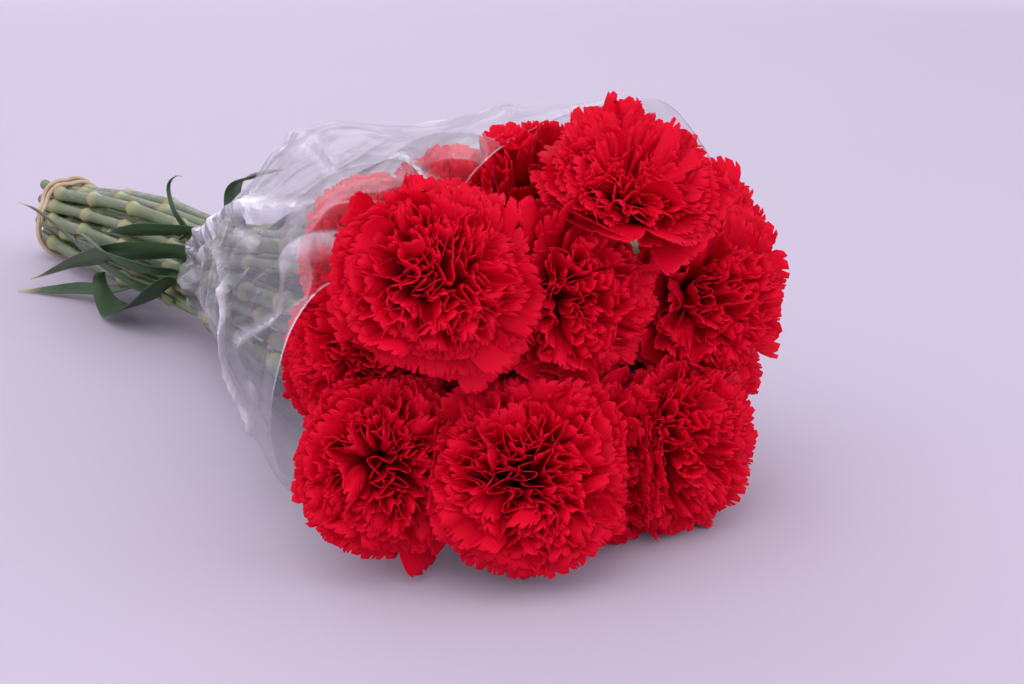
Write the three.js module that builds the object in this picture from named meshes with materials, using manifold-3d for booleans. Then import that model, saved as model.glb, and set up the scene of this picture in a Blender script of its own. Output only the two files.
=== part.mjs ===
// A bunch of twenty cut red carnations in a clear film sleeve, lying on its side on a table.
// Millimetres, +Z up. The table is the plane z = 0, the cut ends point along +Y and the flowers
// along -Y. The bunch is laid out from the mouth of the sleeve's neck and is set down at the end
// with the middle of its footprint on the origin.

import * as THREE from 'three';
import { mergeVertices } from 'three/addons/utils/BufferGeometryUtils.js';
import Module from 'manifold-3d';

const wasm = await Module();
wasm.setup();

// ---- driving dimensions ----
const GAP = 0.3;                  // left between pieces that touch
const TURN = Math.PI * 2;
const GOLDEN_ANGLE = Math.PI * (3 - Math.sqrt(5));

const STEM_RADIUS = 3.3;
const JOINT_RADIUS = 3.8;         // the swollen joint that a leaf pair grows from
const JOINT_SPACING = 58;
const FIRST_JOINT = 20;           // from the cut end, on the stem cut shortest
const JOINT_STAGGER = 6;          // from stem to stem, over five stems
const STEM_SIDES = 6;
const STEM_PITCH = 8;             // stem to stem where the band holds them
const BARE_LENGTH = 235;          // the stretch outside the sleeve, which shows its joints
const PLAIN_STEP = 40;
const PASSING_CLEARANCE = 0.45;   // round another flower's stem that passes through a head

const CALYX_LENGTH = 30;
const CALYX_WAIST = 5.4;
const CALYX_RADIUS = 7;
const CALYX_SHOULDER = 14;        // from the calyx's foot to where it has its full width

const HEAD_RADIUS = 36;
const HEAD_FRONT = 26;            // from the middle of the head to its crown
const HEAD_BACK = 18;             // from the middle of the head to the calyx
const HEAD_SIDES = 12;
const HEAD_OUTLINE = [            // radius, height above the middle of the head
  [0, -HEAD_BACK], [8, -HEAD_BACK], [24, -13], [33, -5], [HEAD_RADIUS, 4],
  [33.5, 13], [26, 20.5], [14, 25], [0, HEAD_FRONT],
];

// The bundle of stems, as sections across it: where the section is, and how far the stems
// have spread there from the pitch at the band.
const CUT_END = { x: 18, y: 244, z: 25, spread: 1.02 };
const BAND_PLACE = { x: 18, y: 226, z: 24.2, spread: 1 };
const MIDWAY = { x: 18, y: 130, z: 32, spread: 1.3 };
const NECK = { x: 20, y: 14, z: 37.5, spread: 1.3 };
const CUT_UNEVENNESS = 7;         // how much the cut ends differ in length
const BUNDLE_ROWS = 4;            // rows of stems looked at on each side of the middle one
const BUNDLE_SHIFT = { x: 0.21, z: 0.13 };   // of the honeycomb, so that the bundle is round
const FAN_TO_BUNDLE = 0.2;        // the spread of the heads against that of the bundle

// Where the middle of each head lies, and which way a head is turned if it doesn't simply
// look away from the neck.
const FLOWERS = [
  { head: [-46, -300, 113] },
  { head: [38, -296, 138] },
  { head: [14, -298, 98] },
  { head: [77, -294, 85] },
  { head: [103, -262, 92] },
  { head: [-60, -278, 38] },
  { head: [-23, -310, 38], looks: [-0.35, -0.91, 0.22] },
  { head: [20, -301, 33] },
  { head: [53, -306, 34] },
  { head: [90, -268, 45] },
  { head: [-49, -262, 79] },
  { head: [-41, -247, 112.5] },
  { head: [-7, -250, 119] },
  { head: [-17, -264, 62] },
  { head: [25, -259, 119.5] },
  { head: [36, -240, 80] },
  { head: [-6, -216, 92] },
  { head: [34, -250, 40] },
  { head: [86, -224, 62] },
  { head: [-36, -214, 52] },
];
const FAN_POINT = new THREE.Vector3(18, -10, 50);   // the heads look away from here

// Rings of the film sleeve from the neck to the mouth: middle across, half width, the heights
// of its underside and its top, and how square it is above and below (2 is an ellipse).
const FILM_THICKNESS = 0.8;
const FILM_SLACK = 1.8;           // between a head and the film round it
const FILM_STEPS = 8;             // places looked at along and across each flat of the film
const SLEEVE_SIDES = 28;
const NECK_RING = { y: 12, x: 20, half: 30, low: 5, high: 69, above: 2, below: 2 };
const MOUTH = { y: -258, x: 30, half: 121, low: 0, high: 161, above: 3, below: 3.4 };
const SLEEVE_RINGS = [
  NECK_RING,
  { y: -16, x: 20, half: 33, low: 0, high: 80, above: 2, below: 2 },
  { y: -60, x: 21, half: 49, low: 0, high: 103, above: 2.1, below: 2.2 },
  { y: -118, x: 25, half: 73, low: 0, high: 129, above: 2.2, below: 2.6 },
  { y: -173, x: 28, half: 96, low: 0, high: 143, above: 2.5, below: 3 },
  { y: -222, x: 30, half: 112, low: 0, high: 154, above: 2.8, below: 3.4 },
  MOUTH,
];

const BAND_WIDTH = 3;
const BAND_THICKNESS = 1.1;
const BAND_WANDER = 5;            // how far each strand strays along the stems
const BAND_SLANT = 4;
const BAND_STEPS = 72;            // round both windings together

// Each leaf is a blade with a width, its tilt about its run at the foot and at the tip, and a
// run from its foot, at a stem, to its tip.
const LEAF_THICKNESS = 1;
const LEAF_SEAT = 4.6;            // from a stem's middle to the middle of a leaf's foot
const LEAF_SEAT_STEPS = 200;      // places along a stem looked at for a leaf's foot
const LEAF_SHAPE = [              // share of the width, share of the length
  [0, 0], [0.75, 0], [1, 0.12], [1, 0.35], [0.85, 0.62], [0.5, 0.84], [0.12, 1], [0, 1],
];
const LEAVES = [
  // long and thin, lying along the stems towards the cut ends
  { wide: 6, tilts: [1.2, 0.9],
    run: [[-12, 46, 27], [-17, 72, 28], [-18, 105, 33], [-15, 140, 31], [-14, 172, 38],
      [-15, 224, 37]] },
  // dark, coming down to the table
  { wide: 8.5, tilts: [1, 0.3],
    run: [[-6, 24, 48], [-18, 50, 44], [-24, 84, 35], [-21, 138, 17], [-28, 176, 3.5]] },
  // arched, with a curled tip
  { wide: 8.5, tilts: [0.9, 0.4],
    run: [[-9, 28, 38], [-24, 46, 42], [-27, 70, 45], [-25, 98, 46], [-20, 122, 36]] },
  // straight, high along the stems
  { wide: 7, tilts: [0.8, 0.8], run: [[-3, 24, 60], [-11, 40, 57], [-15, 66, 51], [-13, 92, 46]] },
  // flat on the table
  { wide: 7, tilts: [0.5, 0],
    run: [[-2, 76, 16], [-6, 100, 6], [-16, 128, 2.5], [-26, 146, 1.6], [-40, 164, 1.2]] },
  // wide and looped, its end curled back up
  { wide: 10.5, tilts: [0.2, -0.2],
    run: [[-8, 24, 33], [-10.8, 42, 24], [-15, 62, 9], [-15, 80, 4], [-15, 98, 6.5], [-15, 104, 14],
      [-15, 98, 22], [-14, 87, 26]] },
  // a thin one that stands up from the neck
  { wide: 3, tilts: [0.3, 0.3],
    run: [[2, 30, 58], [0, 31, 68], [-1, 35, 79], [0, 28, 86], [1, 22, 87]] },
  // high on the far side of the neck
  { wide: 8, tilts: [0.3, 0.2], run: [[28, 20, 66], [30, 30, 74], [33, 8, 88], [36, -22, 100]] },
  // on the far side, coming down to the table
  { wide: 8, tilts: [-1.3, -0.4], run: [[50, 34, 38], [58, 64, 36], [60, 100, 22], [64, 136, 4]] },
  { wide: 8, tilts: [-0.6, 0], run: [[44, 32, 22], [54, 58, 12], [60, 92, 4], [68, 124, 1.4]] },
  // inside the sleeve, pointing to the flowers
  { wide: 9, tilts: [1.2, 1], run: [[-10, -40, 50], [-21, -70, 56], [-36, -115, 68], [-46, -150, 84]] },
  { wide: 9, tilts: [-1.2, -1], run: [[50, -30, 34], [62, -64, 28], [80, -118, 25], [93, -160, 24]] },
  { wide: 9, tilts: [0.2, 0], run: [[24, -30, 74], [26, -60, 90], [30, -100, 108], [28, -150, 124]] },
  { wide: 8, tilts: [0, 0.2], run: [[16, -50, 14], [14, -84, 9], [8, -120, 7], [0, -150, 9]] },
];

const COLOURS = {
  petal: 0xc8142a,
  stem: 0x7d9168,
  leaf: 0x4f6f55,
  film: 0xdfe3ea,
  band: 0xc9a878,
};

function material(colour, roughness) {
  return new THREE.MeshStandardMaterial({ color: colour, roughness, metalness: 0 });
}

const MATERIALS = {
  petal: material(COLOURS.petal, 0.75),
  stem: material(COLOURS.stem, 0.6),
  leaf: material(COLOURS.leaf, 0.65),
  film: material(COLOURS.film, 0.15),
  band: material(COLOURS.band, 0.7),
};

// ---- shaping helpers ----

// A closed solid turned from a profile of [radius, distance] points and bent along a curve.
// The profile starts and ends on the axis, and its distances run from 0 to the curve's length.
// A blade is turned in the same way, then drawn wide, rolled thin and tilted about its run.
function turnedAlong(curve, profile, sides, { wide = 1, thick = 1, tilts = [0, 0] } = {}) {
  const outline = profile.map(([radius, distance]) => new THREE.Vector2(radius, distance));
  const turned = onlyPositions(new THREE.LatheGeometry(outline, sides));
  const length = profile.at(-1)[1];
  const place = turned.getAttribute('position');
  for (let i = 0; i < place.count; i += 1) {
    const along = THREE.MathUtils.clamp(place.getY(i) / length, 0, 1);
    const { tangent, side, rise } = crossAxes(curve, along);
    const offset = side.multiplyScalar(place.getX(i) * wide);
    offset.addScaledVector(rise, place.getZ(i) * thick);
    offset.applyAxisAngle(tangent, THREE.MathUtils.lerp(tilts[0], tilts[1], along));
    const point = curve.getPointAt(along).add(offset);
    place.setXYZ(i, point.x, point.y, point.z);
  }
  return facingOut(turned);
}

// The directions along and across a run that never points straight along X.
function crossAxes(curve, along) {
  const tangent = curve.getTangentAt(along);
  const side = new THREE.Vector3(1, 0, 0).addScaledVector(tangent, -tangent.x).normalize();
  const rise = new THREE.Vector3().crossVectors(side, tangent);
  return { tangent, side, rise };
}

function onlyPositions(geometry) {
  geometry.deleteAttribute('normal');
  geometry.deleteAttribute('uv');
  return mergeVertices(geometry, 1e-4);
}

// Turns a closed surface's faces outwards and gives it normals.
function facingOut(geometry) {
  if (signedVolume(geometry) < 0) {
    const index = geometry.getIndex();
    for (let i = 0; i < index.count; i += 3) {
      const first = index.getX(i);
      index.setX(i, index.getX(i + 1));
      index.setX(i + 1, first);
    }
  }
  geometry.computeVertexNormals();
  return geometry;
}

function signedVolume(geometry) {
  const index = geometry.getIndex();
  const place = geometry.getAttribute('position');
  const [a, b, c] = [new THREE.Vector3(), new THREE.Vector3(), new THREE.Vector3()];
  let sum = 0;
  for (let i = 0; i < index.count; i += 3) {
    a.fromBufferAttribute(place, index.getX(i));
    b.fromBufferAttribute(place, index.getX(i + 1));
    c.fromBufferAttribute(place, index.getX(i + 2));
    sum += a.dot(b.cross(c)) / 6;
  }
  return sum;
}

function toSolid(geometry) {
  const mesh = new wasm.Mesh({
    numProp: 3,
    vertProperties: new Float32Array(geometry.getAttribute('position').array),
    triVerts: new Uint32Array(geometry.getIndex().array),
  });
  return new wasm.Manifold(mesh);
}

function toGeometry(solid) {
  const mesh = solid.getMesh();
  const geometry = new THREE.BufferGeometry();
  geometry.setAttribute('position', new THREE.BufferAttribute(mesh.vertProperties, 3));
  geometry.setIndex(new THREE.BufferAttribute(mesh.triVerts, 1));
  geometry.computeVertexNormals();
  return geometry;
}

function namedMesh(name, geometry, finish, place = new THREE.Vector3()) {
  const mesh = new THREE.Mesh(geometry, finish);
  mesh.name = name;
  mesh.position.copy(place);
  return mesh;
}

function number(index) {
  return String(index + 1).padStart(2, '0');
}

// ---- the bundle: which stem lies where ----

// Places in a bundle of round stems, packed in a honeycomb about its middle.
function bundlePlaces(count) {
  const places = [];
  for (let row = -BUNDLE_ROWS; row <= BUNDLE_ROWS; row += 1) {
    for (let column = -BUNDLE_ROWS * 2; column <= BUNDLE_ROWS * 2; column += 1) {
      const x = (column + row / 2 + BUNDLE_SHIFT.x) * STEM_PITCH;
      const z = (row * Math.sqrt(3) / 2 + BUNDLE_SHIFT.z) * STEM_PITCH;
      places.push(new THREE.Vector2(x, z));
    }
  }
  places.sort((a, b) => a.lengthSq() - b.lengthSq());
  const packed = places.slice(0, count);
  const middle = packed.reduce((sum, place) => sum.add(place), new THREE.Vector2());
  middle.divideScalar(count);
  return packed.map((place) => place.sub(middle));
}

// Gives every flower the place in the bundle that leads to its head without crossing others:
// two flowers swap places as long as that makes their ways shorter.
function sharePlaces(flowers) {
  const places = bundlePlaces(flowers.length);
  const heads = flowers.map(({ calyxStart }) => new THREE.Vector2(calyxStart.x, calyxStart.z));
  const middle = heads.reduce((sum, head) => sum.add(head), new THREE.Vector2());
  middle.divideScalar(-heads.length);
  const fanned = heads.map((head) => head.clone().add(middle).multiplyScalar(FAN_TO_BUNDLE));
  const cost = (i, j) => fanned[i].distanceToSquared(places[j]);
  let swapped = true;
  while (swapped) {
    swapped = false;
    for (let i = 0; i < places.length; i += 1) {
      for (let j = i + 1; j < places.length; j += 1) {
        if (cost(i, j) + cost(j, i) < cost(i, i) + cost(j, j) - 1e-6) {
          [places[i], places[j]] = [places[j], places[i]];
          swapped = true;
        }
      }
    }
  }
  return places;
}

function planFlower({ head, looks }) {
  const middle = new THREE.Vector3(...head);
  const facing = looks ? new THREE.Vector3(...looks) : middle.clone().sub(FAN_POINT);
  facing.normalize();
  const calyxEnd = middle.clone().addScaledVector(facing, -HEAD_BACK - GAP);
  const calyxStart = calyxEnd.clone().addScaledVector(facing, -CALYX_LENGTH);
  return { middle, facing, calyxStart, calyxEnd };
}

function inBundle(section, place, shift = 0) {
  const x = section.x + place.x * section.spread;
  const z = section.z + place.y * section.spread;
  return new THREE.Vector3(x, section.y + shift, z);
}

// ---- stems, each grown in one piece with its calyx ----

function stemRun(flower, place, index) {
  const cut = CUT_UNEVENNESS * Math.sin(index * GOLDEN_ANGLE);
  const points = [
    inBundle(CUT_END, place, cut),
    inBundle(BAND_PLACE, place),
    inBundle(MIDWAY, place),
    inBundle(NECK, place),
    flower.calyxStart.clone(),
    flower.calyxEnd.clone(),
  ];
  return new THREE.CatmullRomCurve3(points, false, 'centripetal');
}

// A stem's profile with its joints and its calyx, or one a little thicker all along.
function stemProfile(length, index, extra = 0) {
  const stemRadius = STEM_RADIUS + extra;
  const calyxRadius = CALYX_RADIUS + extra;
  const calyxFoot = length - CALYX_LENGTH;
  const profile = [[0, 0], [stemRadius, 0]];
  let joint = FIRST_JOINT + JOINT_STAGGER * (index % 5);
  for (; joint < BARE_LENGTH; joint += JOINT_SPACING) {
    profile.push([stemRadius, joint - 5], [JOINT_RADIUS + extra, joint], [stemRadius, joint + 7]);
  }
  for (let plain = joint - 10; plain < calyxFoot - PLAIN_STEP / 2; plain += PLAIN_STEP) {
    profile.push([stemRadius, plain]);
  }
  profile.push([stemRadius, calyxFoot - 6], [CALYX_WAIST + extra, calyxFoot + 2]);
  profile.push([calyxRadius, calyxFoot + CALYX_SHOULDER], [calyxRadius, length], [0, length]);
  return profile;
}

function stem(flower, place, index) {
  const run = stemRun(flower, place, index);
  const foot = run.points[0].clone();
  run.points.forEach((point) => point.sub(foot));
  const geometry = turnedAlong(run, stemProfile(run.getLength(), index), STEM_SIDES);
  return namedMesh(`stem_${number(index)}`, geometry, MATERIALS.stem, foot);
}

// ---- flower heads: domes of petals, pressed flat where they meet ----

// The flat faces that a head is pressed to: one against each neighbour, one against the film
// and one on the table. Each is a normal that points to what is kept, and a point.
function pressedFaces(flowers, index) {
  const { middle } = flowers[index];
  const faces = [];
  flowers.forEach((other, i) => {
    const apart = middle.clone().sub(other.middle);
    if (i !== index && apart.length() < 2 * HEAD_RADIUS) {
      const normal = apart.normalize();
      const between = middle.clone().add(other.middle).multiplyScalar(0.5);
      faces.push({ normal, point: between.addScaledVector(normal, GAP / 2) });
    }
  });
  const film = nearestOnSleeve(middle);
  const inwards = middle.clone().sub(film).normalize();
  faces.push({ normal: inwards, point: film.addScaledVector(inwards, FILM_THICKNESS + FILM_SLACK) });
  const floor = middle.y > MOUTH.y - HEAD_BACK ? FILM_THICKNESS + GAP : 0;
  faces.push({ normal: new THREE.Vector3(0, 0, 1), point: new THREE.Vector3(0, 0, floor) });
  return faces;
}

// The place on the outside of the sleeve that is nearest to a point inside it.
function nearestOnSleeve(target) {
  const rings = SLEEVE_RINGS.map((ring) => sleeveRing(ring, 0));
  let nearest = rings[0][0];
  for (let ring = 1; ring < rings.length; ring += 1) {
    for (let side = 0; side < SLEEVE_SIDES; side += 1) {
      for (let step = 0; step < FILM_STEPS ** 2; step += 1) {
        const along = (step % FILM_STEPS) / (FILM_STEPS - 1);
        const around = Math.floor(step / FILM_STEPS) / FILM_STEPS;
        const next = (side + 1) % SLEEVE_SIDES;
        const behind = rings[ring - 1][side].clone().lerp(rings[ring - 1][next], around);
        const ahead = rings[ring][side].clone().lerp(rings[ring][next], around);
        const spot = behind.lerp(ahead, along);
        if (spot.distanceTo(target) < nearest.distanceTo(target)) {
          nearest = spot;
        }
      }
    }
  }
  return nearest.clone();
}

// A dome, pressed flat where it meets others, with grooves where other flowers' stems pass.
function bloom(flowers, runs, index) {
  const { middle, facing } = flowers[index];
  const turn = new THREE.Quaternion().setFromUnitVectors(new THREE.Vector3(0, 1, 0), facing);
  const frame = new THREE.Matrix4().compose(middle, turn, new THREE.Vector3(1, 1, 1));
  const outline = HEAD_OUTLINE.map(([radius, height]) => new THREE.Vector2(radius, height));
  const dome = new THREE.LatheGeometry(outline, HEAD_SIDES);
  let solid = toSolid(facingOut(onlyPositions(dome)).applyMatrix4(frame));
  for (const { normal, point } of pressedFaces(flowers, index)) {
    solid = solid.trimByPlane(normal.toArray(), normal.dot(point));
  }
  runs.forEach((run, i) => {
    if (i !== index) {
      const passing = stemProfile(run.getLength(), i, PASSING_CLEARANCE);
      solid = solid.subtract(toSolid(turnedAlong(run, passing, STEM_SIDES)));
    }
  });
  const [largest] = solid.decompose().sort((a, b) => b.volume() - a.volume());
  const geometry = toGeometry(largest).applyMatrix4(frame.invert());
  const mesh = namedMesh(`bloom_${number(index)}`, geometry, MATERIALS.petal, middle);
  mesh.quaternion.copy(turn);
  return mesh;
}

// ---- the clear film sleeve ----

function sleeveRing({ y, x, half, low, high, above, below }, inset) {
  const points = [];
  const middle = (low + high) / 2;
  for (let i = 0; i < SLEEVE_SIDES; i += 1) {
    const angle = (i / SLEEVE_SIDES) * TURN;
    const square = Math.sin(angle) > 0 ? above : below;
    const rounded = (value) => Math.sign(value) * Math.abs(value) ** (2 / square);
    const across = rounded(Math.cos(angle)) * (half - inset);
    const rise = rounded(Math.sin(angle)) * ((high - low) / 2 - inset);
    points.push(new THREE.Vector3(x + across, y, middle + rise));
  }
  return points;
}

// A thin shell, open at both ends: out along the outer rings and back along the inner ones.
function sleeve() {
  const outer = SLEEVE_RINGS.map((ring) => sleeveRing(ring, 0));
  const inner = SLEEVE_RINGS.map((ring) => sleeveRing(ring, FILM_THICKNESS)).reverse();
  const rings = [...outer, ...inner];
  const foot = new THREE.Vector3(NECK_RING.x, NECK_RING.y, 0);
  const places = rings.flat().flatMap((point) => point.clone().sub(foot).toArray());
  const faces = [];
  for (let ring = 0; ring < rings.length; ring += 1) {
    for (let i = 0; i < SLEEVE_SIDES; i += 1) {
      const next = (i + 1) % SLEEVE_SIDES;
      const here = ring * SLEEVE_SIDES;
      const there = ((ring + 1) % rings.length) * SLEEVE_SIDES;
      faces.push(here + i, there + i, there + next, here + i, there + next, here + next);
    }
  }
  const geometry = new THREE.BufferGeometry();
  geometry.setAttribute('position', new THREE.Float32BufferAttribute(places, 3));
  geometry.setIndex(faces);
  return namedMesh('film_sleeve', facingOut(geometry), MATERIALS.film, foot);
}

// ---- the rubber band, wound twice round the stems ----

// A ring whose one turn is bent to two turns round the bundle: over itself on one side, and
// each strand wandering along the stems.
function rubberBand(places) {
  const ring = STEM_PITCH;
  const geometry = onlyPositions(new THREE.TorusGeometry(ring, 1, 4, BAND_STEPS));
  const place = geometry.getAttribute('position');
  const spot = new THREE.Vector3();
  for (let i = 0; i < place.count; i += 1) {
    spot.fromBufferAttribute(place, i);
    const wound = Math.atan2(spot.y, spot.x);
    const angle = wound * 2;
    const outwards = (Math.hypot(spot.x, spot.y) - ring) * BAND_THICKNESS / 2;
    const overlap = (BAND_THICKNESS + GAP) / 2 * (1 + Math.sin(wound));
    const radius = bundleReach(places, angle) + GAP + BAND_THICKNESS / 2 + overlap + outwards;
    const along = BAND_WANDER * Math.cos(wound) + BAND_SLANT * Math.sin(angle)
      + spot.z * BAND_WIDTH / 2;
    place.setXYZ(i, radius * Math.cos(angle), along, radius * Math.sin(angle));
  }
  const middle = new THREE.Vector3(BAND_PLACE.x, BAND_PLACE.y, BAND_PLACE.z);
  return namedMesh('rubber_band', facingOut(geometry), MATERIALS.band, middle);
}

// How far the bundle reaches in one direction from its middle, a little eased at its corners.
function bundleReach(places, angle) {
  const direction = new THREE.Vector2(Math.cos(angle), Math.sin(angle));
  return Math.max(...places.map((place) => place.dot(direction))) + JOINT_RADIUS;
}

// ---- leaves: narrow blades, each from its foot at a stem to its tip ----

// The foot of a leaf hugs the stem nearest to it.
function leafFoot(wanted, runs) {
  let nearest = { distance: Infinity };
  for (const run of runs) {
    for (const point of run.getSpacedPoints(LEAF_SEAT_STEPS)) {
      const distance = point.distanceTo(wanted);
      if (distance < nearest.distance) {
        nearest = { distance, point };
      }
    }
  }
  const outwards = wanted.clone().sub(nearest.point).normalize();
  return nearest.point.clone().addScaledVector(outwards, LEAF_SEAT);
}

function leaf({ wide, tilts, run }, runs, index) {
  const points = run.map((point) => new THREE.Vector3(...point));
  points[0] = leafFoot(points[0], runs);
  const foot = points[0].clone();
  points.forEach((point) => point.sub(foot));
  const curve = new THREE.CatmullRomCurve3(points, false, 'centripetal');
  const length = curve.getLength();
  const profile = LEAF_SHAPE.map(([width, along]) => [width, along * length]);
  const blade = { wide: wide / 2, thick: LEAF_THICKNESS / 2, tilts };
  const geometry = turnedAlong(curve, profile, 4, blade);
  return namedMesh(`leaf_${number(index)}`, geometry, MATERIALS.leaf, foot);
}

// ---- the bunch ----

function bunch() {
  const group = new THREE.Group();
  const flowers = FLOWERS.map(planFlower);
  const places = sharePlaces(flowers);
  const runs = flowers.map((flower, i) => stemRun(flower, places[i], i));
  flowers.forEach((flower, i) => group.add(stem(flower, places[i], i)));
  flowers.forEach((_, i) => group.add(bloom(flowers, runs, i)));
  group.add(rubberBand(places));
  group.add(sleeve());
  LEAVES.forEach((blade, i) => group.add(leaf(blade, runs, i)));
  const bounds = new THREE.Box3().setFromObject(group, true);
  const middle = bounds.getCenter(new THREE.Vector3());
  group.position.set(-middle.x, -middle.y, -bounds.min.z);
  return group;
}

export default bunch();
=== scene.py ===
"""A bunch of red carnations in a clear film sleeve, lying on its side.

The bunch is grown round its frame: the frame's stems, heads, leaves, film and band say where
everything lies, and each is replaced by the real thing in millimetre detail.
"""

import math
from contextlib import contextmanager

import bmesh
import bpy
import numpy as np
from bpy.props import FloatProperty, FloatVectorProperty, IntProperty, PointerProperty
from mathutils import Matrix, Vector
from mathutils.bvhtree import BVHTree
from mathutils.geometry import interpolate_bezier


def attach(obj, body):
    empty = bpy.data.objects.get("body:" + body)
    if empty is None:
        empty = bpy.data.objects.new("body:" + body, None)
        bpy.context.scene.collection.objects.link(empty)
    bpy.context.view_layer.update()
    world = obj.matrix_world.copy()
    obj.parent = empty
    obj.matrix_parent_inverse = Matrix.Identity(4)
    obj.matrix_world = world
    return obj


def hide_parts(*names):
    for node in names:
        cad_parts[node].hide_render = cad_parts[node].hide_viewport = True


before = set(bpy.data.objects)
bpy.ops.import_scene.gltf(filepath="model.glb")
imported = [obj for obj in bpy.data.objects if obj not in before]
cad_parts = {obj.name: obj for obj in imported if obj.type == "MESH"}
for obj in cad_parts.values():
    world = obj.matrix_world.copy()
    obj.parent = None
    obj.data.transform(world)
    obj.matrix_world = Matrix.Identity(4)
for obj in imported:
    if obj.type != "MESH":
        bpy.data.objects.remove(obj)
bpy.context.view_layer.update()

bl_info = {
    "name": "Carnation Bunch",
    "version": (1, 0, 0),
    "blender": (4, 5, 0),
    "location": "3D View > Sidebar > Carnations",
    "description": "Grows a bunch of carnations in a film sleeve round its frame",
    "category": "Add Mesh",
}

MM = 0.001
TURN = 2 * math.pi
GOLDEN_ANGLE = math.pi * (3 - math.sqrt(5))
FLOWER_COUNT = sum(name.startswith("bloom_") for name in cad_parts)
LEAF_COUNT = sum(name.startswith("leaf_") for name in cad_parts)
SEED = 1887
# corners nearer than this, in millimetres, are one
SEAM = 0.001


# ---- settings that a user would change ----

def length(name, description, default):
    """A length in the sidebar, given here in millimetres."""
    return FloatProperty(name=name, description=description, default=default * MM,
                         min=0, precision=5, unit="LENGTH")


def colour(name, description, default):
    return FloatVectorProperty(name=name, description=description, default=default,
                               subtype="COLOR", min=0, max=1)


class StemSettings(bpy.types.PropertyGroup):
    radius: length("Radius", "Radius of a stem between its joints", 3.4)
    joint_swelling: length("Joint swelling", "How far a joint stands out from its stem", 1.1)
    skin: colour("Skin", "Green of the stem under its wax", (0.052, 0.092, 0.026))
    wax: colour("Wax", "Grey bloom on the stem", (0.165, 0.215, 0.10))
    joint: colour("Joint", "Pale green of a joint", (0.30, 0.35, 0.14))
    scar: colour("Scar", "Tan ring where a leaf pair was stripped", (0.34, 0.22, 0.12))
    pith: colour("Pith", "Cut face of a stem", (0.52, 0.58, 0.36))


class BloomSettings(bpy.types.PropertyGroup):
    petals: IntProperty(name="Petals", description="Petals in a flower head", default=68, min=12)
    radius: length("Radius", "From the middle of a head to the tips of its guard petals", 37.5)
    height: length("Height", "From the middle of a head to its crown", 26)
    petal_width: length("Petal width", "Width of a guard petal across its fan", 42)
    tooth: length("Tooth", "Depth of the teeth along a petal's edge", 2.3)
    thickness: length("Thickness", "Thickness of a petal", 0.22)
    face: colour("Face", "Red of a petal's face", (0.60, 0.0004, 0.016))
    # painted shade: the darker red towards a petal's foot stands for the shade deep inside the head
    deep: colour("Deep", "Dark red towards a petal's foot", (0.34, 0.0, 0.008))
    # partly the petals' own lighter tone and veins, partly a painted highlight along the teeth
    # where the rims catch light
    edge: colour("Edge", "Lighter red along the teeth", (0.75, 0.003, 0.028))


class LeafSettings(bpy.types.PropertyGroup):
    thickness: length("Thickness", "Thickness of a leaf", 0.5)
    keel: length("Keel", "Depth of the channel along a leaf", 1.3)
    blade: colour("Blade", "Green of a leaf under its wax", (0.03, 0.075, 0.022))
    wax: colour("Wax", "Blue-grey bloom on a leaf", (0.075, 0.13, 0.065))
    tip: colour("Tip", "Faded tip of a leaf", (0.50, 0.48, 0.20))


class FilmSettings(bpy.types.PropertyGroup):
    thickness: length("Thickness", "Thickness of the film", 0.12)
    gathers: length("Gathers", "Depth of the small folds at the neck", 2.2)
    haze: FloatProperty(name="Haze", description="How milky the film is", default=0.08,
                        min=0, max=1, subtype="FACTOR")
    tint: colour("Tint", "Colour of the film's shine", (0.83, 0.83, 0.90))


class BandSettings(bpy.types.PropertyGroup):
    rubber: colour("Rubber", "Tan of the rubber band", (0.42, 0.31, 0.19))
    worn: colour("Worn", "Lighter tan where it is stretched", (0.58, 0.46, 0.31))


class StageSettings(bpy.types.PropertyGroup):
    floor: colour("Floor", "Colour of the floor", (0.515, 0.475, 0.57))
    wall: colour("Wall", "Colour of the backdrop", (0.97, 0.92, 1.0))
    lens: FloatProperty(name="Lens", description="Focal length in millimetres", default=67.0)


# ---- reading the frame, in millimetres ----

def joined_mesh(node):
    """A copy of a CAD node's mesh with its loose triangles joined, in metres."""
    mesh = bmesh.new()
    mesh.from_mesh(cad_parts[node].data)
    bmesh.ops.remove_doubles(mesh, verts=mesh.verts, dist=0.01 * MM)
    mesh.verts.index_update()
    return mesh


def is_cap_middle(vertex):
    """True in the middle of a flat end: all the faces round the corner lie in one plane."""
    normals = [face.normal for face in vertex.link_faces]
    return all(normals[0].dot(normal) > 0.9999 for normal in normals)


def rings_of(node, wide_end_first):
    """The rings of corners of a turned CAD solid, one after another along it."""
    mesh = joined_mesh(node)
    caps = [vertex for vertex in mesh.verts if is_cap_middle(vertex)]
    caps.sort(key=lambda cap: max(edge.calc_length() for edge in cap.link_edges))
    ring = [caps[-1] if wide_end_first else caps[0]]
    seen = set(ring)
    rings = []
    while len(ring := next_ring(ring, seen)) > 1:
        rings.append(np.array([corner.co for corner in ring]) / MM)
        seen.update(ring)
    mesh.free()
    return rings


def next_ring(ring, seen):
    touching = {edge.other_vert(corner) for corner in ring for edge in corner.link_edges}
    return sorted(touching - seen, key=lambda corner: corner.index)


def smooth_line(points, step):
    """Points about every step along a smooth line through the given ones."""
    points = [Vector(point) for point in points]
    last = len(points) - 1
    ways = [(points[min(i + 1, last)] - points[max(i - 1, 0)]).normalized()
            for i in range(last + 1)]
    line = [points[0]]
    for i in range(last):
        start, end = points[i], points[i + 1]
        reach = (end - start).length / 3
        count = max(3, round(3 * reach / step) + 1)
        line += interpolate_bezier(start, start + ways[i] * reach,
                                   end - ways[i + 1] * reach, end, count)[1:]
    return np.array(line)


def distances(line):
    """How far along a line each of its points is."""
    steps = np.linalg.norm(np.diff(line, axis=0), axis=1)
    return np.concatenate([[0.0], np.cumsum(steps)])


def nearest_along(line, along, points):
    """How far along a line the places nearest to the given points are."""
    return np.array([along[np.argmin(np.linalg.norm(line - point, axis=1))] for point in points])


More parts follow.
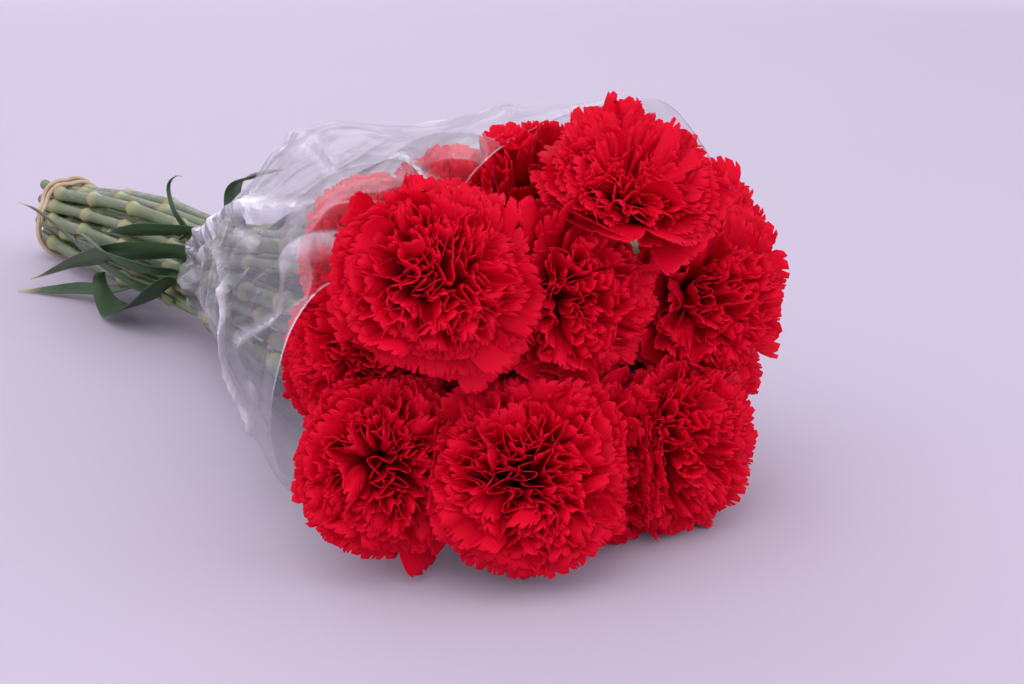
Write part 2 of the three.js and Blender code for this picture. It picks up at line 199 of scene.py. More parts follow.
def spread(values, where, wanted):
    """Rows of values, known at the places where, read off at the wanted places."""
    return np.stack([np.interp(wanted, where, column) for column in values.T], axis=-1)


def unit(vectors):
    return vectors / np.linalg.norm(vectors, axis=-1, keepdims=True)


def smooth(values):
    """0 below 0, 1 above 1 and an even rise between."""
    values = np.clip(values, 0, 1)
    return values * values * (3 - 2 * values)


def mix(first, second, share):
    return first + (second - first) * share


# ---- blanks: a flat grid is added, shaped point by point and finished in edit mode ----

def deselect():
    bpy.ops.object.select_all(action="DESELECT")


def only(piece):
    deselect()
    piece.select_set(True)
    bpy.context.view_layer.objects.active = piece


@contextmanager
def editing(piece):
    """Edit mode on a piece, with all of it selected."""
    only(piece)
    bpy.ops.object.mode_set(mode="EDIT")
    bpy.ops.mesh.select_all(action="SELECT")
    yield
    bpy.ops.object.mode_set(mode="OBJECT")


def new_piece(mesh):
    piece = bpy.data.objects.new(mesh.name, mesh)
    bpy.context.collection.objects.link(piece)
    return piece


def add_blank(name, columns, rows):
    """A flat grid, with how far across (0 to 1) and along (0 to 1) each of its corners is."""
    deselect()
    bpy.ops.mesh.primitive_grid_add(x_subdivisions=columns, y_subdivisions=rows, size=1)
    piece = bpy.context.active_object
    piece.name = piece.data.name = name
    places = corner_places(piece) + 0.5
    return piece, np.round(places[:, 0] * columns), np.round(places[:, 1] * rows)


def corner_places(piece):
    places = np.empty(len(piece.data.vertices) * 3)
    piece.data.vertices.foreach_get("co", places)
    return places.reshape(-1, 3)


def move_corners(piece, places):
    """Puts the corners of a piece at places given in millimetres."""
    piece.data.vertices.foreach_set("co", (places * MM).ravel())
    piece.data.update()


def note(piece, name, values):
    """Keeps one number for each corner of a piece, for its material to read."""
    attribute = piece.data.attributes.new(name, "FLOAT", "POINT")
    attribute.data.foreach_set("value", np.ascontiguousarray(values, dtype=np.float32))


def close_tube(piece):
    """Joins the long edges of a rolled-up blank, closes its ends and turns its faces out."""
    with editing(piece):
        bpy.ops.mesh.remove_doubles(threshold=SEAM * MM)
        bpy.ops.mesh.fill_holes(sides=0)
        bpy.ops.mesh.select_all(action="SELECT")
        bpy.ops.mesh.normals_make_consistent(inside=False)


def thicken(piece, thickness):
    """Gives a sheet its thickness, half to each side, so that it is closed."""
    only(piece)
    wall = piece.modifiers.new("Wall", "SOLIDIFY")
    wall.thickness = thickness
    wall.offset = 0
    bpy.ops.object.modifier_apply(modifier=wall.name)


def finish_piece(piece, node, material, smooth_angle=60):
    """Smooths a piece, gives it its material and puts it in the place of a CAD node."""
    only(piece)
    bpy.ops.object.shade_smooth_by_angle(angle=math.radians(smooth_angle))
    piece.data.materials.clear()
    piece.data.materials.append(material)
    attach(piece, "root")
    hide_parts(node)


# ---- materials ----

class Wires:
    """The nodes of a material or a node group, and the links between their sockets."""

    def __init__(self, tree):
        self.nodes, self.links = tree.nodes, tree.links

    def feed(self, socket, value):
        """Feeds a socket from another one, or sets it to a plain value."""
        if isinstance(value, bpy.types.NodeSocket):
            self.links.new(value, socket)
        else:
            socket.default_value = (*value, 1) if socket.type == "RGBA" else value

    def give(self, node, **sockets):
        """Feeds a node's named sockets. Two underscores stand for a space."""
        for name, value in sockets.items():
            self.feed(node.inputs[name.replace("__", " ")], value)
        return node

    def add(self, kind, **sockets):
        return self.give(self.nodes.new(f"ShaderNode{kind}"), **sockets)

    def add_group(self, group, **sockets):
        node = self.nodes.new("ShaderNodeGroup")
        node.node_tree = group
        return self.give(node, **sockets).outputs

    def noise(self, vector, scale, detail=2.0, roughness=0.5):
        return self.add("TexNoise", Vector=vector, Scale=scale, Detail=detail,
                        Roughness=roughness).outputs["Fac"]

    def mapped(self, vector, **sockets):
        return self.add("Mapping", Vector=vector, **sockets).outputs["Vector"]

    def uv_map(self):
        node = self.nodes.new("ShaderNodeUVMap")
        node.uv_map = "UVMap"
        return node.outputs["UV"]

    def math(self, operation, *values, kind="Math", out="Value"):
        node = self.nodes.new(f"ShaderNode{kind}")
        node.operation = operation
        for socket, value in zip(node.inputs, values):
            self.feed(socket, value)
        return node.outputs[out]

    def vector_math(self, operation, *values, out="Vector"):
        return self.math(operation, *values, kind="VectorMath", out=out)

    def blend(self, factor, first, second):
        """A mix of two colours, which this node takes by number."""
        node = self.nodes.new("ShaderNodeMix")
        node.data_type = "RGBA"
        for socket, value in ((0, factor), (6, first), (7, second)):
            self.feed(node.inputs[socket], value)
        return node.outputs[2]

    def ramp(self, value, low, high):
        """value brought to 0 at low and 1 at high."""
        return self.add("MapRange", Value=value, From__Min=low, From__Max=high).outputs["Result"]

    def attribute(self, name):
        node = self.nodes.new("ShaderNodeAttribute")
        node.attribute_name = name
        return node.outputs["Fac"]

    def axis(self, vector, name):
        """One axis of a place."""
        return self.add("SeparateXYZ", Vector=vector).outputs[name]

    def bump(self, shader, height, strength, distance):
        bump = self.add("Bump", Height=height, Strength=strength, Distance=distance)
        self.feed(shader.inputs["Normal"], bump.outputs["Normal"])


def new_material(name):
    material = bpy.data.materials.new(name)
    material.use_nodes = True
    wires = Wires(material.node_tree)
    return material, wires, wires.nodes["Principled BSDF"]


def new_group(name, vectors, numbers, outputs):
    """An empty node group, its wires, its inputs and its outputs."""
    group = bpy.data.node_groups.new(name, "ShaderNodeTree")
    face = group.interface
    for each in vectors:
        face.new_socket(name=each, in_out="INPUT", socket_type="NodeSocketVector")
    for each, default in numbers.items():
        socket = face.new_socket(name=each, in_out="INPUT", socket_type="NodeSocketFloat")
        socket.default_value = default
    for each in outputs:
        face.new_socket(name=each, in_out="OUTPUT", socket_type="NodeSocketFloat")
    wires = Wires(group)
    given, out = wires.nodes.new("NodeGroupInput"), wires.nodes.new("NodeGroupOutput")
    return group, wires, given.outputs, out.inputs


def wax_group():
    """A patchy bloom of wax with fine streaks along the piece: a mask, and a height for bumps."""
    if group := bpy.data.node_groups.get("Wax bloom"):
        return group
    numbers = {"Patch Scale": 60.0, "Streak Scale": 40.0, "Low": 0.35, "High": 0.65}
    group, wires, given, out = new_group("Wax bloom", (), numbers, ("Mask", "Height"))
    where = wires.add("TexCoord").outputs["Object"]
    patches = wires.noise(where, given["Patch Scale"], 4.0, 0.6)
    drawn_out = wires.mapped(where, Scale=(8, 0.5, 8))
    streaks = wires.noise(drawn_out, given["Streak Scale"], 3.0, 0.55)
    both = wires.math("MULTIPLY_ADD", patches, 0.5, wires.math("MULTIPLY", streaks, 0.5))
    wires.feed(out["Mask"], wires.ramp(both, given["Low"], given["High"]))
    wires.feed(out["Height"], streaks)
    return group


def stem_material(settings):
    """Waxed green, paler towards each joint, a tan ring at the joint and pith at the cut."""
    material, wires, shader = new_material("Stem")
    wax = wires.add_group(wax_group(), Patch__Scale=110.0, Streak__Scale=60.0, Low=0.40,
                          High=0.60)
    joint = wires.attribute("joint")
    skin = wires.blend(wax["Mask"], settings.skin, settings.wax)
    skin = wires.blend(wires.ramp(joint, 14.0, 1.0), skin, settings.joint)
    skin = wires.blend(wires.ramp(joint, 2.0, 0.9), skin, settings.scar)
    skin = wires.blend(wires.attribute("cut"), skin, settings.pith)
    wires.give(shader, Base__Color=skin, Roughness=wires.ramp(wax["Mask"], -0.6, 1.6))
    wires.bump(shader, wax["Height"], 0.25, 0.0004)
    return material


def leaf_material(settings):
    """Waxed green with veins along it, faded at the tip."""
    material, wires, shader = new_material("Leaf")
    wax = wires.add_group(wax_group(), Patch__Scale=45.0, Streak__Scale=90.0, Low=0.32,
                          High=0.66)
    veins = wires.add("TexWave", Vector=wires.uv_map(), Scale=3.2, Distortion=0.6, Detail=1.0)
    veins.bands_direction = "X"
    veins = veins.outputs["Fac"]
    blade = wires.blend(wax["Mask"], settings.blade, settings.wax)
    blade = wires.blend(wires.ramp(veins, 1.6, 0.4), blade, settings.blade)
    blade = wires.blend(wires.ramp(wires.attribute("tip"), 0.0, 1.0), blade, settings.tip)
    wires.give(shader, Base__Color=blade, Roughness=0.5, Subsurface__Weight=0.1,
               Subsurface__Radius=(0.001, 0.0015, 0.0004))
    wires.bump(shader, veins, 0.25, 0.0003)
    return material


def petal_material(settings):
    """Red, darker at the foot as painted shade and lighter along the teeth as a painted highlight,
    with veins that fan out.
    """
    material, wires, shader = new_material("Petal")
    where, tone = wires.uv_map(), wires.attribute("tone")
    shift = wires.add("CombineXYZ", X=wires.math("MULTIPLY", tone, 40.0)).outputs["Vector"]
    fan = wires.mapped(where, Location=shift, Scale=(34, 1.1, 1))
    veins = wires.noise(fan, 1.0, 3.0, 0.6)
    along = wires.axis(where, "Y")
    # painted shade: darker towards the petal's foot, deep inside the head
    face = wires.blend(wires.ramp(along, 0.1, 0.7), settings.deep, settings.face)
    face = wires.blend(wires.ramp(tone, 0.2, 1.6), face, settings.edge)
    face = wires.blend(wires.ramp(veins, 0.52, 0.85), face, settings.edge)
    # painted highlight: lighter along the teeth, where the rims catch light
    face = wires.blend(wires.ramp(along, 0.93, 1.06), face, settings.edge)
    wires.give(shader, Base__Color=face, Roughness=0.6, Specular__IOR__Level=0.07,
               Subsurface__Weight=0.2, Subsurface__Radius=(0.0018, 0.0002, 0.0002),
               Subsurface__Scale=1.0)
    wires.bump(shader, veins, 0.6, 0.0006)
    return material


def band_material(settings):
    """Tan rubber, paler in patches, with a fine dusty grain."""
    material, wires, shader = new_material("Rubber band")
    where = wires.add("TexCoord").outputs["Object"]
    grain = wires.noise(where, 500.0, 3.0)
    worn = wires.ramp(wires.noise(where, 90.0), 0.35, 0.7)
    wires.give(shader, Base__Color=wires.blend(worn, settings.rubber, settings.worn),
               Roughness=wires.ramp(grain, -0.8, 1.2))
    wires.bump(shader, grain, 0.3, 0.0002)
    return material


# how wide the sharp edge of a facet is, as a share of the facet
FACET_EDGE = 0.025
# how small each layer of facets is, which way it is turned and how far it is drawn out
FACETS = ((3.2, 0.5, 0.4), (5.5, 2.2, 0.35), (9.0, 1.3, 0.5))
# painted highlights: the white given to the film's creases and shining folds
PAINTED_HIGHLIGHT_WHITE = (0.95, 0.95, 1.0)
# how far streaks, a glancing view, folds and the free edge hide what is behind the film; for the
# folds and the free edge this is part of their painted highlights
STREAK_VEIL = 1.2
GLANCE_VEIL = 0.19
PAINTED_HIGHLIGHT_VEIL = 0.4
RIM_HIGHLIGHT_VEIL = 0.28


def facet_group():
    """Flat facets with sharp edges, as crumpled film has: a height for bumps, and the edges."""
    numbers = {"Scale": 4.0, "Turn": 0.0, "Stretch": 0.4}
    group, wires, given, out = new_group("Facets", ("Vector",), numbers, ("Height", "Edge"))
    spin = wires.add("CombineXYZ", Z=given["Turn"]).outputs["Vector"]
    size = wires.add("CombineXYZ", X=1, Y=given["Stretch"], Z=1).outputs["Vector"]
    slanted = wires.mapped(given["Vector"], Rotation=spin)
    drawn_out = wires.vector_math("MULTIPLY", slanted, size)
    cells, edges = (wires.nodes.new("ShaderNodeTexVoronoi") for _ in range(2))
    edges.feature = "DISTANCE_TO_EDGE"
    for texture in (cells, edges):
        texture.voronoi_dimensions = "2D"
        wires.give(texture, Vector=drawn_out, Scale=given["Scale"])
    slope = wires.vector_math("SUBTRACT", cells.outputs["Color"], (0.5, 0.5, 0.5))
    wires.feed(out["Height"],
               wires.vector_math("DOT_PRODUCT", slope, given["Vector"], out="Value"))
    wires.feed(out["Edge"], wires.ramp(edges.outputs["Distance"], FACET_EDGE, 0.0))
    return group


def film_material(settings):
    """Clear film: what is behind it shows, its facets shine, and its creases and folds carry
    painted highlights.
    """
    material, wires, shader = new_material("Film")
    where = wires.add("TexCoord").outputs
    flat = wires.mapped(where["UV"], Scale=(5.0, 2.7, 1))
    group = facet_group()
    big, middle, small = (wires.add_group(group, Scale=scale, Turn=turn, Stretch=stretch,
                                          Vector=flat) for scale, turn, stretch in FACETS)
    heights = wires.math("ADD", big["Height"], middle["Height"])
    heights = wires.math("ADD", small["Height"], heights)
    clouds = wires.noise(where["Object"], 14.0, 4.0, 0.6)
    patches = wires.noise(where["Object"], 22.0)
    # painted highlights: thin lines along the facets' edges, in patches, and the shine of the folds
    lines = wires.math("MAXIMUM", big["Edge"], middle["Edge"])
    lines = wires.math("MULTIPLY", lines, wires.ramp(patches, 0.5, 0.95))
    shine = wires.math("MULTIPLY", wires.attribute("shine"), wires.ramp(clouds, 0.3, 0.6))
    lines = wires.math("MAXIMUM", lines, shine)
    # the painted highlights whiten the film's colour
    wires.give(shader, Base__Color=wires.blend(lines, settings.tint, PAINTED_HIGHLIGHT_WHITE), Metallic=0.4,
               Roughness=0.14)
    wires.bump(shader, heights, 1.0, 0.12)
    milky = wires.attribute("haze")
    comb = wires.mapped(where["UV"], Scale=(75, 4, 1), Rotation=(0, 0, 0.12))
    streaks = wires.ramp(wires.noise(comb, 1.0, 4.0, 0.65), 0.5, 0.72)
    veil = wires.math("MULTIPLY", milky, wires.ramp(clouds, 0.2, 0.7))
    veil = wires.math("MULTIPLY_ADD", wires.math("MULTIPLY", milky, streaks), STREAK_VEIL, veil)
    glance = wires.add("LayerWeight", Blend=0.3).outputs["Fresnel"]
    veil = wires.math("MULTIPLY_ADD", glance, GLANCE_VEIL, veil)
    # the painted highlights also make the film less clear
    veil = wires.math("MULTIPLY_ADD", lines, PAINTED_HIGHLIGHT_VEIL, veil)
    # painted highlight: a thin strip along the free edge, less clear, for the light the rim catches
    edge = wires.ramp(wires.axis(where["UV"], "Y"), 0.9965, 0.998)
    veil = wires.math("MULTIPLY_ADD", edge, RIM_HIGHLIGHT_VEIL, veil)
    show = wires.add("MixShader", Fac=veil)
    wires.feed(show.inputs[1], wires.add("BsdfTransparent").outputs["BSDF"])
    wires.feed(show.inputs[2], shader.outputs["BSDF"])
    wires.feed(wires.nodes["Material Output"].inputs["Surface"], show.outputs["Shader"])
    return material


# how much paler the clouds on the floor are, and how strongly the wall glows
FLOOR_CLOUDS = 1.04
WALL_GLOW = 0.39


def stage_material(settings):
    """A pale floor, cloudy only a little, and a wall that glows softly."""
    material, wires, shader = new_material("Stage")
    where = wires.add("TexCoord").outputs["Object"]
    pale = [min(1.0, value * FLOOR_CLOUDS) for value in settings.floor]
    floor = wires.blend(wires.noise(where, 1.5), settings.floor, pale)
    height = wires.ramp(wires.axis(where, "Z"), 0.0, 0.1)
    wires.give(shader, Base__Color=wires.blend(height, floor, settings.wall),
               Emission__Color=wires.blend(height, (0, 0, 0), settings.wall),
               Emission__Strength=WALL_GLOW, Roughness=0.85)
    return material


# ---- stems ----

STEM_STEP = 7
STEM_COLUMNS = 16
# how far the edge of a cut end is rounded off
CUT_ROUNDING = 0.25
CALYX_LENGTH = 30
CALYX_TEETH = 5
CALYX_TOOTH = 5.5
# the calyx: how far from its foot each row is, and its radius
CALYX_ROWS = ((1, 5.0), (6, 5.7), (8, 5.4), (14, 6.7), (22, 7.1))
# its mouth: how far from the stem's end each row is, its radius, and whether it has the teeth
CALYX_MOUTH = ((0, 7.1, 0), (1, 7.7, 1), (0, 6.6, 0), (-3, 4.0, 0))
JOINT_SPACING = 58
# a ring of the frame's stem this much wider than the others is a joint
JOINT_STANDS_OUT = 1.08
# where a joint needs rows of corners, before and after its collar
JOINT_ROWS = (-5, -2.4, -1.3, -0.7, -0.2, 0.3, 0.9, 2, 4, 7, 11, 17)
# further than this from a joint, the skin's colour no longer changes
FAR_FROM_JOINT = 20


def stem_line(number):
    """A stem's middle line from its cut end to its calyx's mouth, and where its joints are."""
    rings = rings_of(f"stem_{number:02d}", wide_end_first=False)
    middles = np.array([ring.mean(axis=0) for ring in rings])
    radii = np.array([np.linalg.norm(ring - ring.mean(axis=0), axis=1).mean() for ring in rings])
    line = smooth_line(middles, 4)
    along = distances(line)
    swollen = [where for where, radius in zip(nearest_along(line, along, middles), radii)
               if radius > np.median(radii) * JOINT_STANDS_OUT
               and where < along[-1] - CALYX_LENGTH * 1.5]
    while swollen[-1] + JOINT_SPACING * 1.4 < along[-1] - CALYX_LENGTH:
        swollen.append(swollen[-1] + JOINT_SPACING)
    return line, along, swollen


def joint_swell(away):
    """The swelling of a joint: steep at its collar, easing off towards the flowers."""
    if away < 0:
        return math.exp(-(away / 1.1) ** 2) * 0.9
    collar = 0.25 * math.exp(-((away - 0.3) / 0.5) ** 2)
    return collar + 0.3 * math.exp(-away / 16) + 0.7 * math.exp(-(away / 5) ** 2)


def stem_profile(total, joints, settings):
    """Rows of (distance along, radius, how far the calyx teeth lengthen it) for one stem."""
    radius = settings.radius / MM
    foot = total - CALYX_LENGTH
    steps = [*np.arange(0, foot - 6, STEM_STEP), 0.4]
    for joint in joints:
        steps += [joint + step for step in JOINT_ROWS]
    steps = sorted(step for step in steps if 0 <= step < foot - 5)
    rows = []
    for step in steps:
        swell = max(joint_swell(step - joint) for joint in joints)
        rounded = CUT_ROUNDING if step == 0 else 0
        rows.append((step, radius + swell * settings.joint_swelling / MM - rounded, 0))
    rows += [(foot - 4, radius, 0), (foot - 1, radius + 0.6, 0)]
    rows += [(foot + step, wide, 0) for step, wide in CALYX_ROWS]
    rows += [(total + step, wide, teeth) for step, wide, teeth in CALYX_MOUTH]
    return np.array(rows)


def grow_stem(number, settings, material):
    line, along, joints = stem_line(number)
    rows = stem_profile(along[-1], joints, settings)
    name = f"carnation_stem_{number:02d}"
    piece, column, row = add_blank(name, STEM_COLUMNS, len(rows) - 1)
    turn = column / STEM_COLUMNS * TURN
    where, radius, teeth = rows[row.astype(int)].T
    tooth = np.abs((turn / TURN * CALYX_TEETH) % 1 * 2 - 1)
    where = where + teeth * tooth * CALYX_TOOTH
    radius = radius * (1 + 0.04 * np.sin(2 * turn + number) + 0.05 * np.sin(where / 23 + number))
    ragged = 0.5 * np.sin(3 * turn + number) + 0.4 * np.sin(7 * turn + 2 * number)
    where = where + ragged * (np.abs(teeth) < 0.5) * (where > 2)
    middle, rise, side = frame_along(line, along, where)
    out = side * np.cos(turn)[:, None] + rise * np.sin(turn)[:, None]
    move_corners(piece, middle + out * radius[:, None])
    away = where[:, None] - np.array(joints)[None, :]
    past = np.where(away > -1.5, np.abs(away), FAR_FROM_JOINT).min(axis=1)
    note(piece, "joint", np.minimum(past, FAR_FROM_JOINT))
    note(piece, "cut", (row == 0).astype(float))
    close_tube(piece)
    finish_piece(piece, f"stem_{number:02d}", material, smooth_angle=50)


def frame_along(line, along, where):
    """The middle, and the directions up and to the side, at distances along a line."""
    ways = unit(np.gradient(line, along, axis=0))
    middle = spread(line, along, where)
    way = unit(spread(ways, along, where))
    past = (where - along[-1]).clip(min=0)
    middle = middle + way * past[:, None]
    side = unit(np.array([1.0, 0, 0]) - way * way[:, :1])
    return middle, np.cross(side, way), side


# ---- flower heads ----

PETAL_COLUMNS = 42
# how far along a petal each row of its corners is
PETAL_ROWS = np.array([0, 0.36, 0.58, 0.73, 0.85, 0.94, 1.0])
COLUMNS_PER_TOOTH = 3
# from the calyx's mouth to the middle of a head, and how widely and deeply the petals stand in it
HEAD_BACK = 18.3
BASE_RADIUS = 4.5
BASE_DEPTH = -4.0
# of the outermost and the innermost petals: the cosine of their lean, the degrees they slant at
# the calyx, how cupped they are and how high their ruffles stand
UPRIGHT = (-0.1, 0.99)
RISING = (20, 2)
CUPPING = (0.012, 0.05)
RUFFLE = (1.1, 3.4)
# how many degrees the tip of a guard petal turns over, and how wide it is for the settings' width
GUARD_FLARE = 109
GUARD_WIDTH = 1.1
# half the width of a petal's narrow foot
CLAW_WIDTH = 1.3
# the least and the most of a tooth's depth, as shares of the settings' depth
TOOTH_DEPTH = (0.3, 1.25)
# how a head's outline swells: how many lobes, and how big
LOBES = ((2, 0.07), (3, 0.06))
# finer ruffles: their share, their fewest and most waves across a petal, and where they start
SMALL_RUFFLES = ((0.5, 3.0, 4.5, 0.6), (0.12, 6, 8, 0.75))
# how petals give way to the next head: how softly, how far they rise out of the head as a share
# of that, how far each may reach past the middle between the two, and how much further in front
PRESS_SOFTNESS = 7
RISE_WHEN_PRESSED = 0.6
PRESS_REACH = (2, 9)
REACH_IN_FRONT = 8
# how far the petals lie above the table, and over what height they flatten towards it
TABLE_GAP = 0.4
TABLE_SOFTNESS = 3
# the heads that the film covers, how far they reach, how uneven and how soft that limit is, and
# how far they stay behind the front one
COVERED = [11, 12, 13]
COVERED_REACH = 40
COVERED_UNEVEN = 3
COVERED_SOFTNESS = 4
BEHIND_THE_FRONT = 11

# for each style of head: how many petals more than the settings say, how far it opens, how much
# they ruffle, how high the middle ones stand, how many degrees they flare and how wide they are
STYLES = {
    "folded": {"more": 6, "open": 0.72, "ruffle": 1.15, "middle": 0.85, "flare": 8, "inner": 0.42},
    "full": {"more": -4, "open": 0.9, "ruffle": 1.0, "middle": 0.95, "flare": 12, "inner": 0.5},
    "hidden": {"more": -22, "open": 0.9, "ruffle": 1.0, "middle": 0.95, "flare": 12, "inner": 0.5},
    "crown": {"more": 10, "open": 0.7, "ruffle": 0.9, "middle": 0.55, "flare": 15, "inner": 0.4},
    "fringed": {"more": 4, "open": 0.85, "ruffle": 0.85, "middle": 1.0, "flare": 12, "inner": 0.45},
}
# the style and size of each head, in the frame's order
HEADS = [("folded", 0.97), ("crown", 0.95), ("full", 0.96), ("fringed", 1.01), ("fringed", 0.97),
         ("folded", 0.98), ("folded", 1.06), ("full", 1.04), ("fringed", 1.03), ("full", 1.04),
         ("full", 0.95), ("full", 0.82), ("full", 0.79), ("folded", 1.05),
         *[("hidden", 0.95)] * 5, ("hidden", 0.78)]
# how some heads are tilted off their stems, and how far they sit from their stems' ends
HEAD_TILT = {1: (0, 0, 0.1), 2: (-0.2, 0.1, 1.0), 4: (-0.2, 0, 0), 5: (0, 0, 0.2),
             6: (0, 0, 0.25), 7: (0.05, 0, 0.25)}
HEAD_NUDGE = {2: (0, 0, -5), 3: (-3, 0, 0), 4: (-2, 0, 0), 6: (5, -4, 4), 7: (6, -4, 0),
              11: (2, 0, 0), 12: (0, 0, -4), 20: (5, 0, 6)}
NOT_AT_ALL = (0, 0, 0)


class Head:
    """A flower head's number, style and size, its middle and its axis."""

    def __init__(self, number):
        line, _, _ = stem_line(number)
        self.number = number
        self.style, self.size = HEADS[number - 1]
        axis = unit(line[-1] - line[-3])
        nudge = np.array(HEAD_NUDGE.get(number, NOT_AT_ALL))
        self.middle = line[-1] + axis * HEAD_BACK + nudge
        self.axis = unit(axis + np.array(HEAD_TILT.get(number, NOT_AT_ALL)))


def petal_blank():
    """One flat petal, a grid of a few hundred faces: its columns, its rows and its faces."""
    piece, column, row = add_blank("petal_blank", PETAL_COLUMNS, len(PETAL_ROWS) - 1)
    faces = np.array([list(face.vertices) for face in piece.data.polygons])
    only(piece)
    bpy.ops.object.delete()
    return column, row.astype(int), faces


class Draws:
    """Random but fixed numbers for all petals of one head."""

    def __init__(self, number, petals, corners):
        self.rng = np.random.default_rng(SEED + number)
        self.petals, self.corners = petals, corners

    def petal(self, low, high):
        return self.rng.uniform(low, high, (self.petals, 1))

    def vary(self, amount):
        return self.petal(-amount, amount)

    def corner(self, low, high):
        return self.rng.uniform(low, high, (self.petals, self.corners))

    def turn(self):
        return self.rng.uniform(0, TURN)


def slanted(angle):
    return np.concatenate([np.sin(angle), np.cos(angle)], axis=1)


def petal_curves(draws, settings, style, order):
    """Each petal's turn round the axis and, in the plane there, the curve of its middle line from
    the calyx to its place on the dome: its foot, two handles and its tip."""
    radius, height = settings.radius / MM - 1, settings.height / MM
    turn = np.arange(draws.petals)[:, None] * GOLDEN_ANGLE + draws.vary(0.5)
    upright = np.clip(mix(*UPRIGHT, order ** style["open"]), -1, 1)
    lean = np.arccos(upright) + draws.vary(0.12)
    reach = mix(1.0, style["middle"], smooth((order - 0.55) / 0.45)) + draws.vary(0.1)
    lobes = sum((size * np.sin(count * turn + draws.turn()) for count, size in LOBES), 1)
    base = np.full((draws.petals, 1), BASE_DEPTH)
    foot = np.concatenate([BASE_RADIUS * (1 - order) + 0.4, base], axis=1)
    tip = np.concatenate([radius * np.sin(lean) * (lobes + draws.vary(0.09)),
                          HEAD_BACK + height * np.cos(lean) * reach], axis=1)
    chord = np.linalg.norm(tip - foot, axis=1, keepdims=True)
    rising = np.radians(mix(*RISING, order ** 0.6))
    ending = np.radians(mix(GUARD_FLARE, style["flare"], order ** 1.2) + draws.vary(15))
    handle_1 = foot + slanted(rising) * chord * 0.5
    handle_2 = tip - slanted(ending) * chord * 0.4
    return turn, (foot, handle_1, handle_2, tip), chord


def petal_outline(draws, settings, column, row, chord):
    """How far along and across its petal each corner is: rounded, and toothed along its edge."""
    edge = row == row.max()
    tooth = column % COLUMNS_PER_TOOTH
    cut = np.where(tooth == 0, 1.0, 0.0) * edge
    widened = np.where(tooth == 1, -0.35, np.where(tooth == 2, 0.35, 0.0)) * edge / PETAL_COLUMNS
    depth = draws.corner(*TOOTH_DEPTH) * settings.tooth / MM
    long = draws.corner(-0.5, 0.5) * edge * (tooth > 0)
    shift = draws.corner(-0.45, 0.45) / PETAL_COLUMNS
    v = column / PETAL_COLUMNS * 2 - 1 + 2 * widened + shift * (row >= row.max() - 1)
    u = PETAL_ROWS[row] * (1 - 0.15 * np.abs(v) ** 2.3 * PETAL_ROWS[row])
    return u - (cut * depth - long) / chord, v, edge


def along_curves(u, foot, handle_1, handle_2, tip):
    """Places on the petals' middle lines, and the ways from there into the head."""
    u = u[..., None]
    rib = ((1 - u) ** 3 * foot[:, None] + 3 * u * (1 - u) ** 2 * handle_1[:, None]
           + 3 * u ** 2 * (1 - u) * handle_2[:, None] + u ** 3 * tip[:, None])
    slope = unit((1 - u) ** 2 * (handle_1 - foot)[:, None]
                 + 2 * u * (1 - u) * (handle_2 - handle_1)[:, None]
                 + u ** 2 * (tip - handle_2)[:, None])
    return rib, np.stack([-slope[..., 1], slope[..., 0]], axis=-1)


def petal_fans(draws, settings, style, order, u, v, edge):
    """How far aside of its petal's middle line each corner is, and how far inside it: the petals
    are fanned, cupped, ruffled and twisted."""
    wide = settings.petal_width / MM / 2 * mix(GUARD_WIDTH, style["inner"], order ** 0.8)
    wide = wide * (1 + draws.vary(0.25))
    half = CLAW_WIDTH + (wide - CLAW_WIDTH) * smooth((u - 0.2) / 0.68)
    bend = (mix(*CUPPING, order) + draws.vary(0.02) + order * draws.vary(0.05)) * style["ruffle"]
    lateral = half * np.sinc(v * half * bend / math.pi) * v
    raised = (v * half) ** 2 * bend / 2
    ruffle = style["ruffle"] * mix(*RUFFLE, smooth(order / 0.8))
    folds = draws.petal(1.2, 2.3) * math.pi * mix(1.0, 1.7, smooth((order - 0.5) / 0.4))
    phase = folds * v + draws.petal(0, TURN)
    raised = raised + ruffle * smooth((u - 0.42) / 0.5) * np.sin(phase)
    lateral = lateral - smooth((u - 0.5) / 0.4) * 0.33 * half / folds * np.sin(2 * phase)
    for share, low, high, start in SMALL_RUFFLES:
        phase = draws.petal(low, high) * math.pi * v + draws.petal(0, TURN)
        raised = raised + (0.6 + 0.4 * ruffle) * share * smooth((u - start) / 0.35) * np.sin(phase)
    raised = raised + draws.vary(2.5) * smooth((u - 0.6) / 0.4) ** 2
    raised = raised + edge * draws.corner(-0.3, 0.3)
    twist = draws.vary(0.5) * u
    return (lateral * np.cos(twist) - raised * np.sin(twist),
            lateral * np.sin(twist) + raised * np.cos(twist))


def petal_shapes(draws, settings, blank, style):
    """All petals of a head round its axis, as (petal, corner, 3), from the calyx's mouth."""
    column, row, _ = blank
    order = (np.arange(draws.petals) / (draws.petals - 1))[:, None]
    turn, curve, chord = petal_curves(draws, settings, style, order)
    u, v, edge = petal_outline(draws, settings, column, row, chord)
    lateral, raised = petal_fans(draws, settings, style, order, u, v, edge)
    rib, inner = along_curves(u, *curve)
    out = rib[..., 0] + inner[..., 0] * raised
    z = rib[..., 1] + inner[..., 1] * raised
    x = out * np.cos(turn) - lateral * np.sin(turn)
    y = out * np.sin(turn) + lateral * np.cos(turn)
    return np.stack([x, y, z], axis=-1)


def pressed(depth, limit, softness):
    """depth brought under limit: it slows down over the last stretch and never passes."""
    over = depth - (limit - softness)
    return np.where(over > 0, limit - softness * np.exp(-over.clip(min=0) / softness), depth)


def eased(places, kept, along):
    """Moves each petal whole, as its most displaced corner goes, so that its teeth stay."""
    push = kept - places
    most = np.linalg.norm(push, axis=-1).argmax(axis=1)
    return places + push[np.arange(len(places)), most][:, None] * smooth(along / 0.8)[:, None]


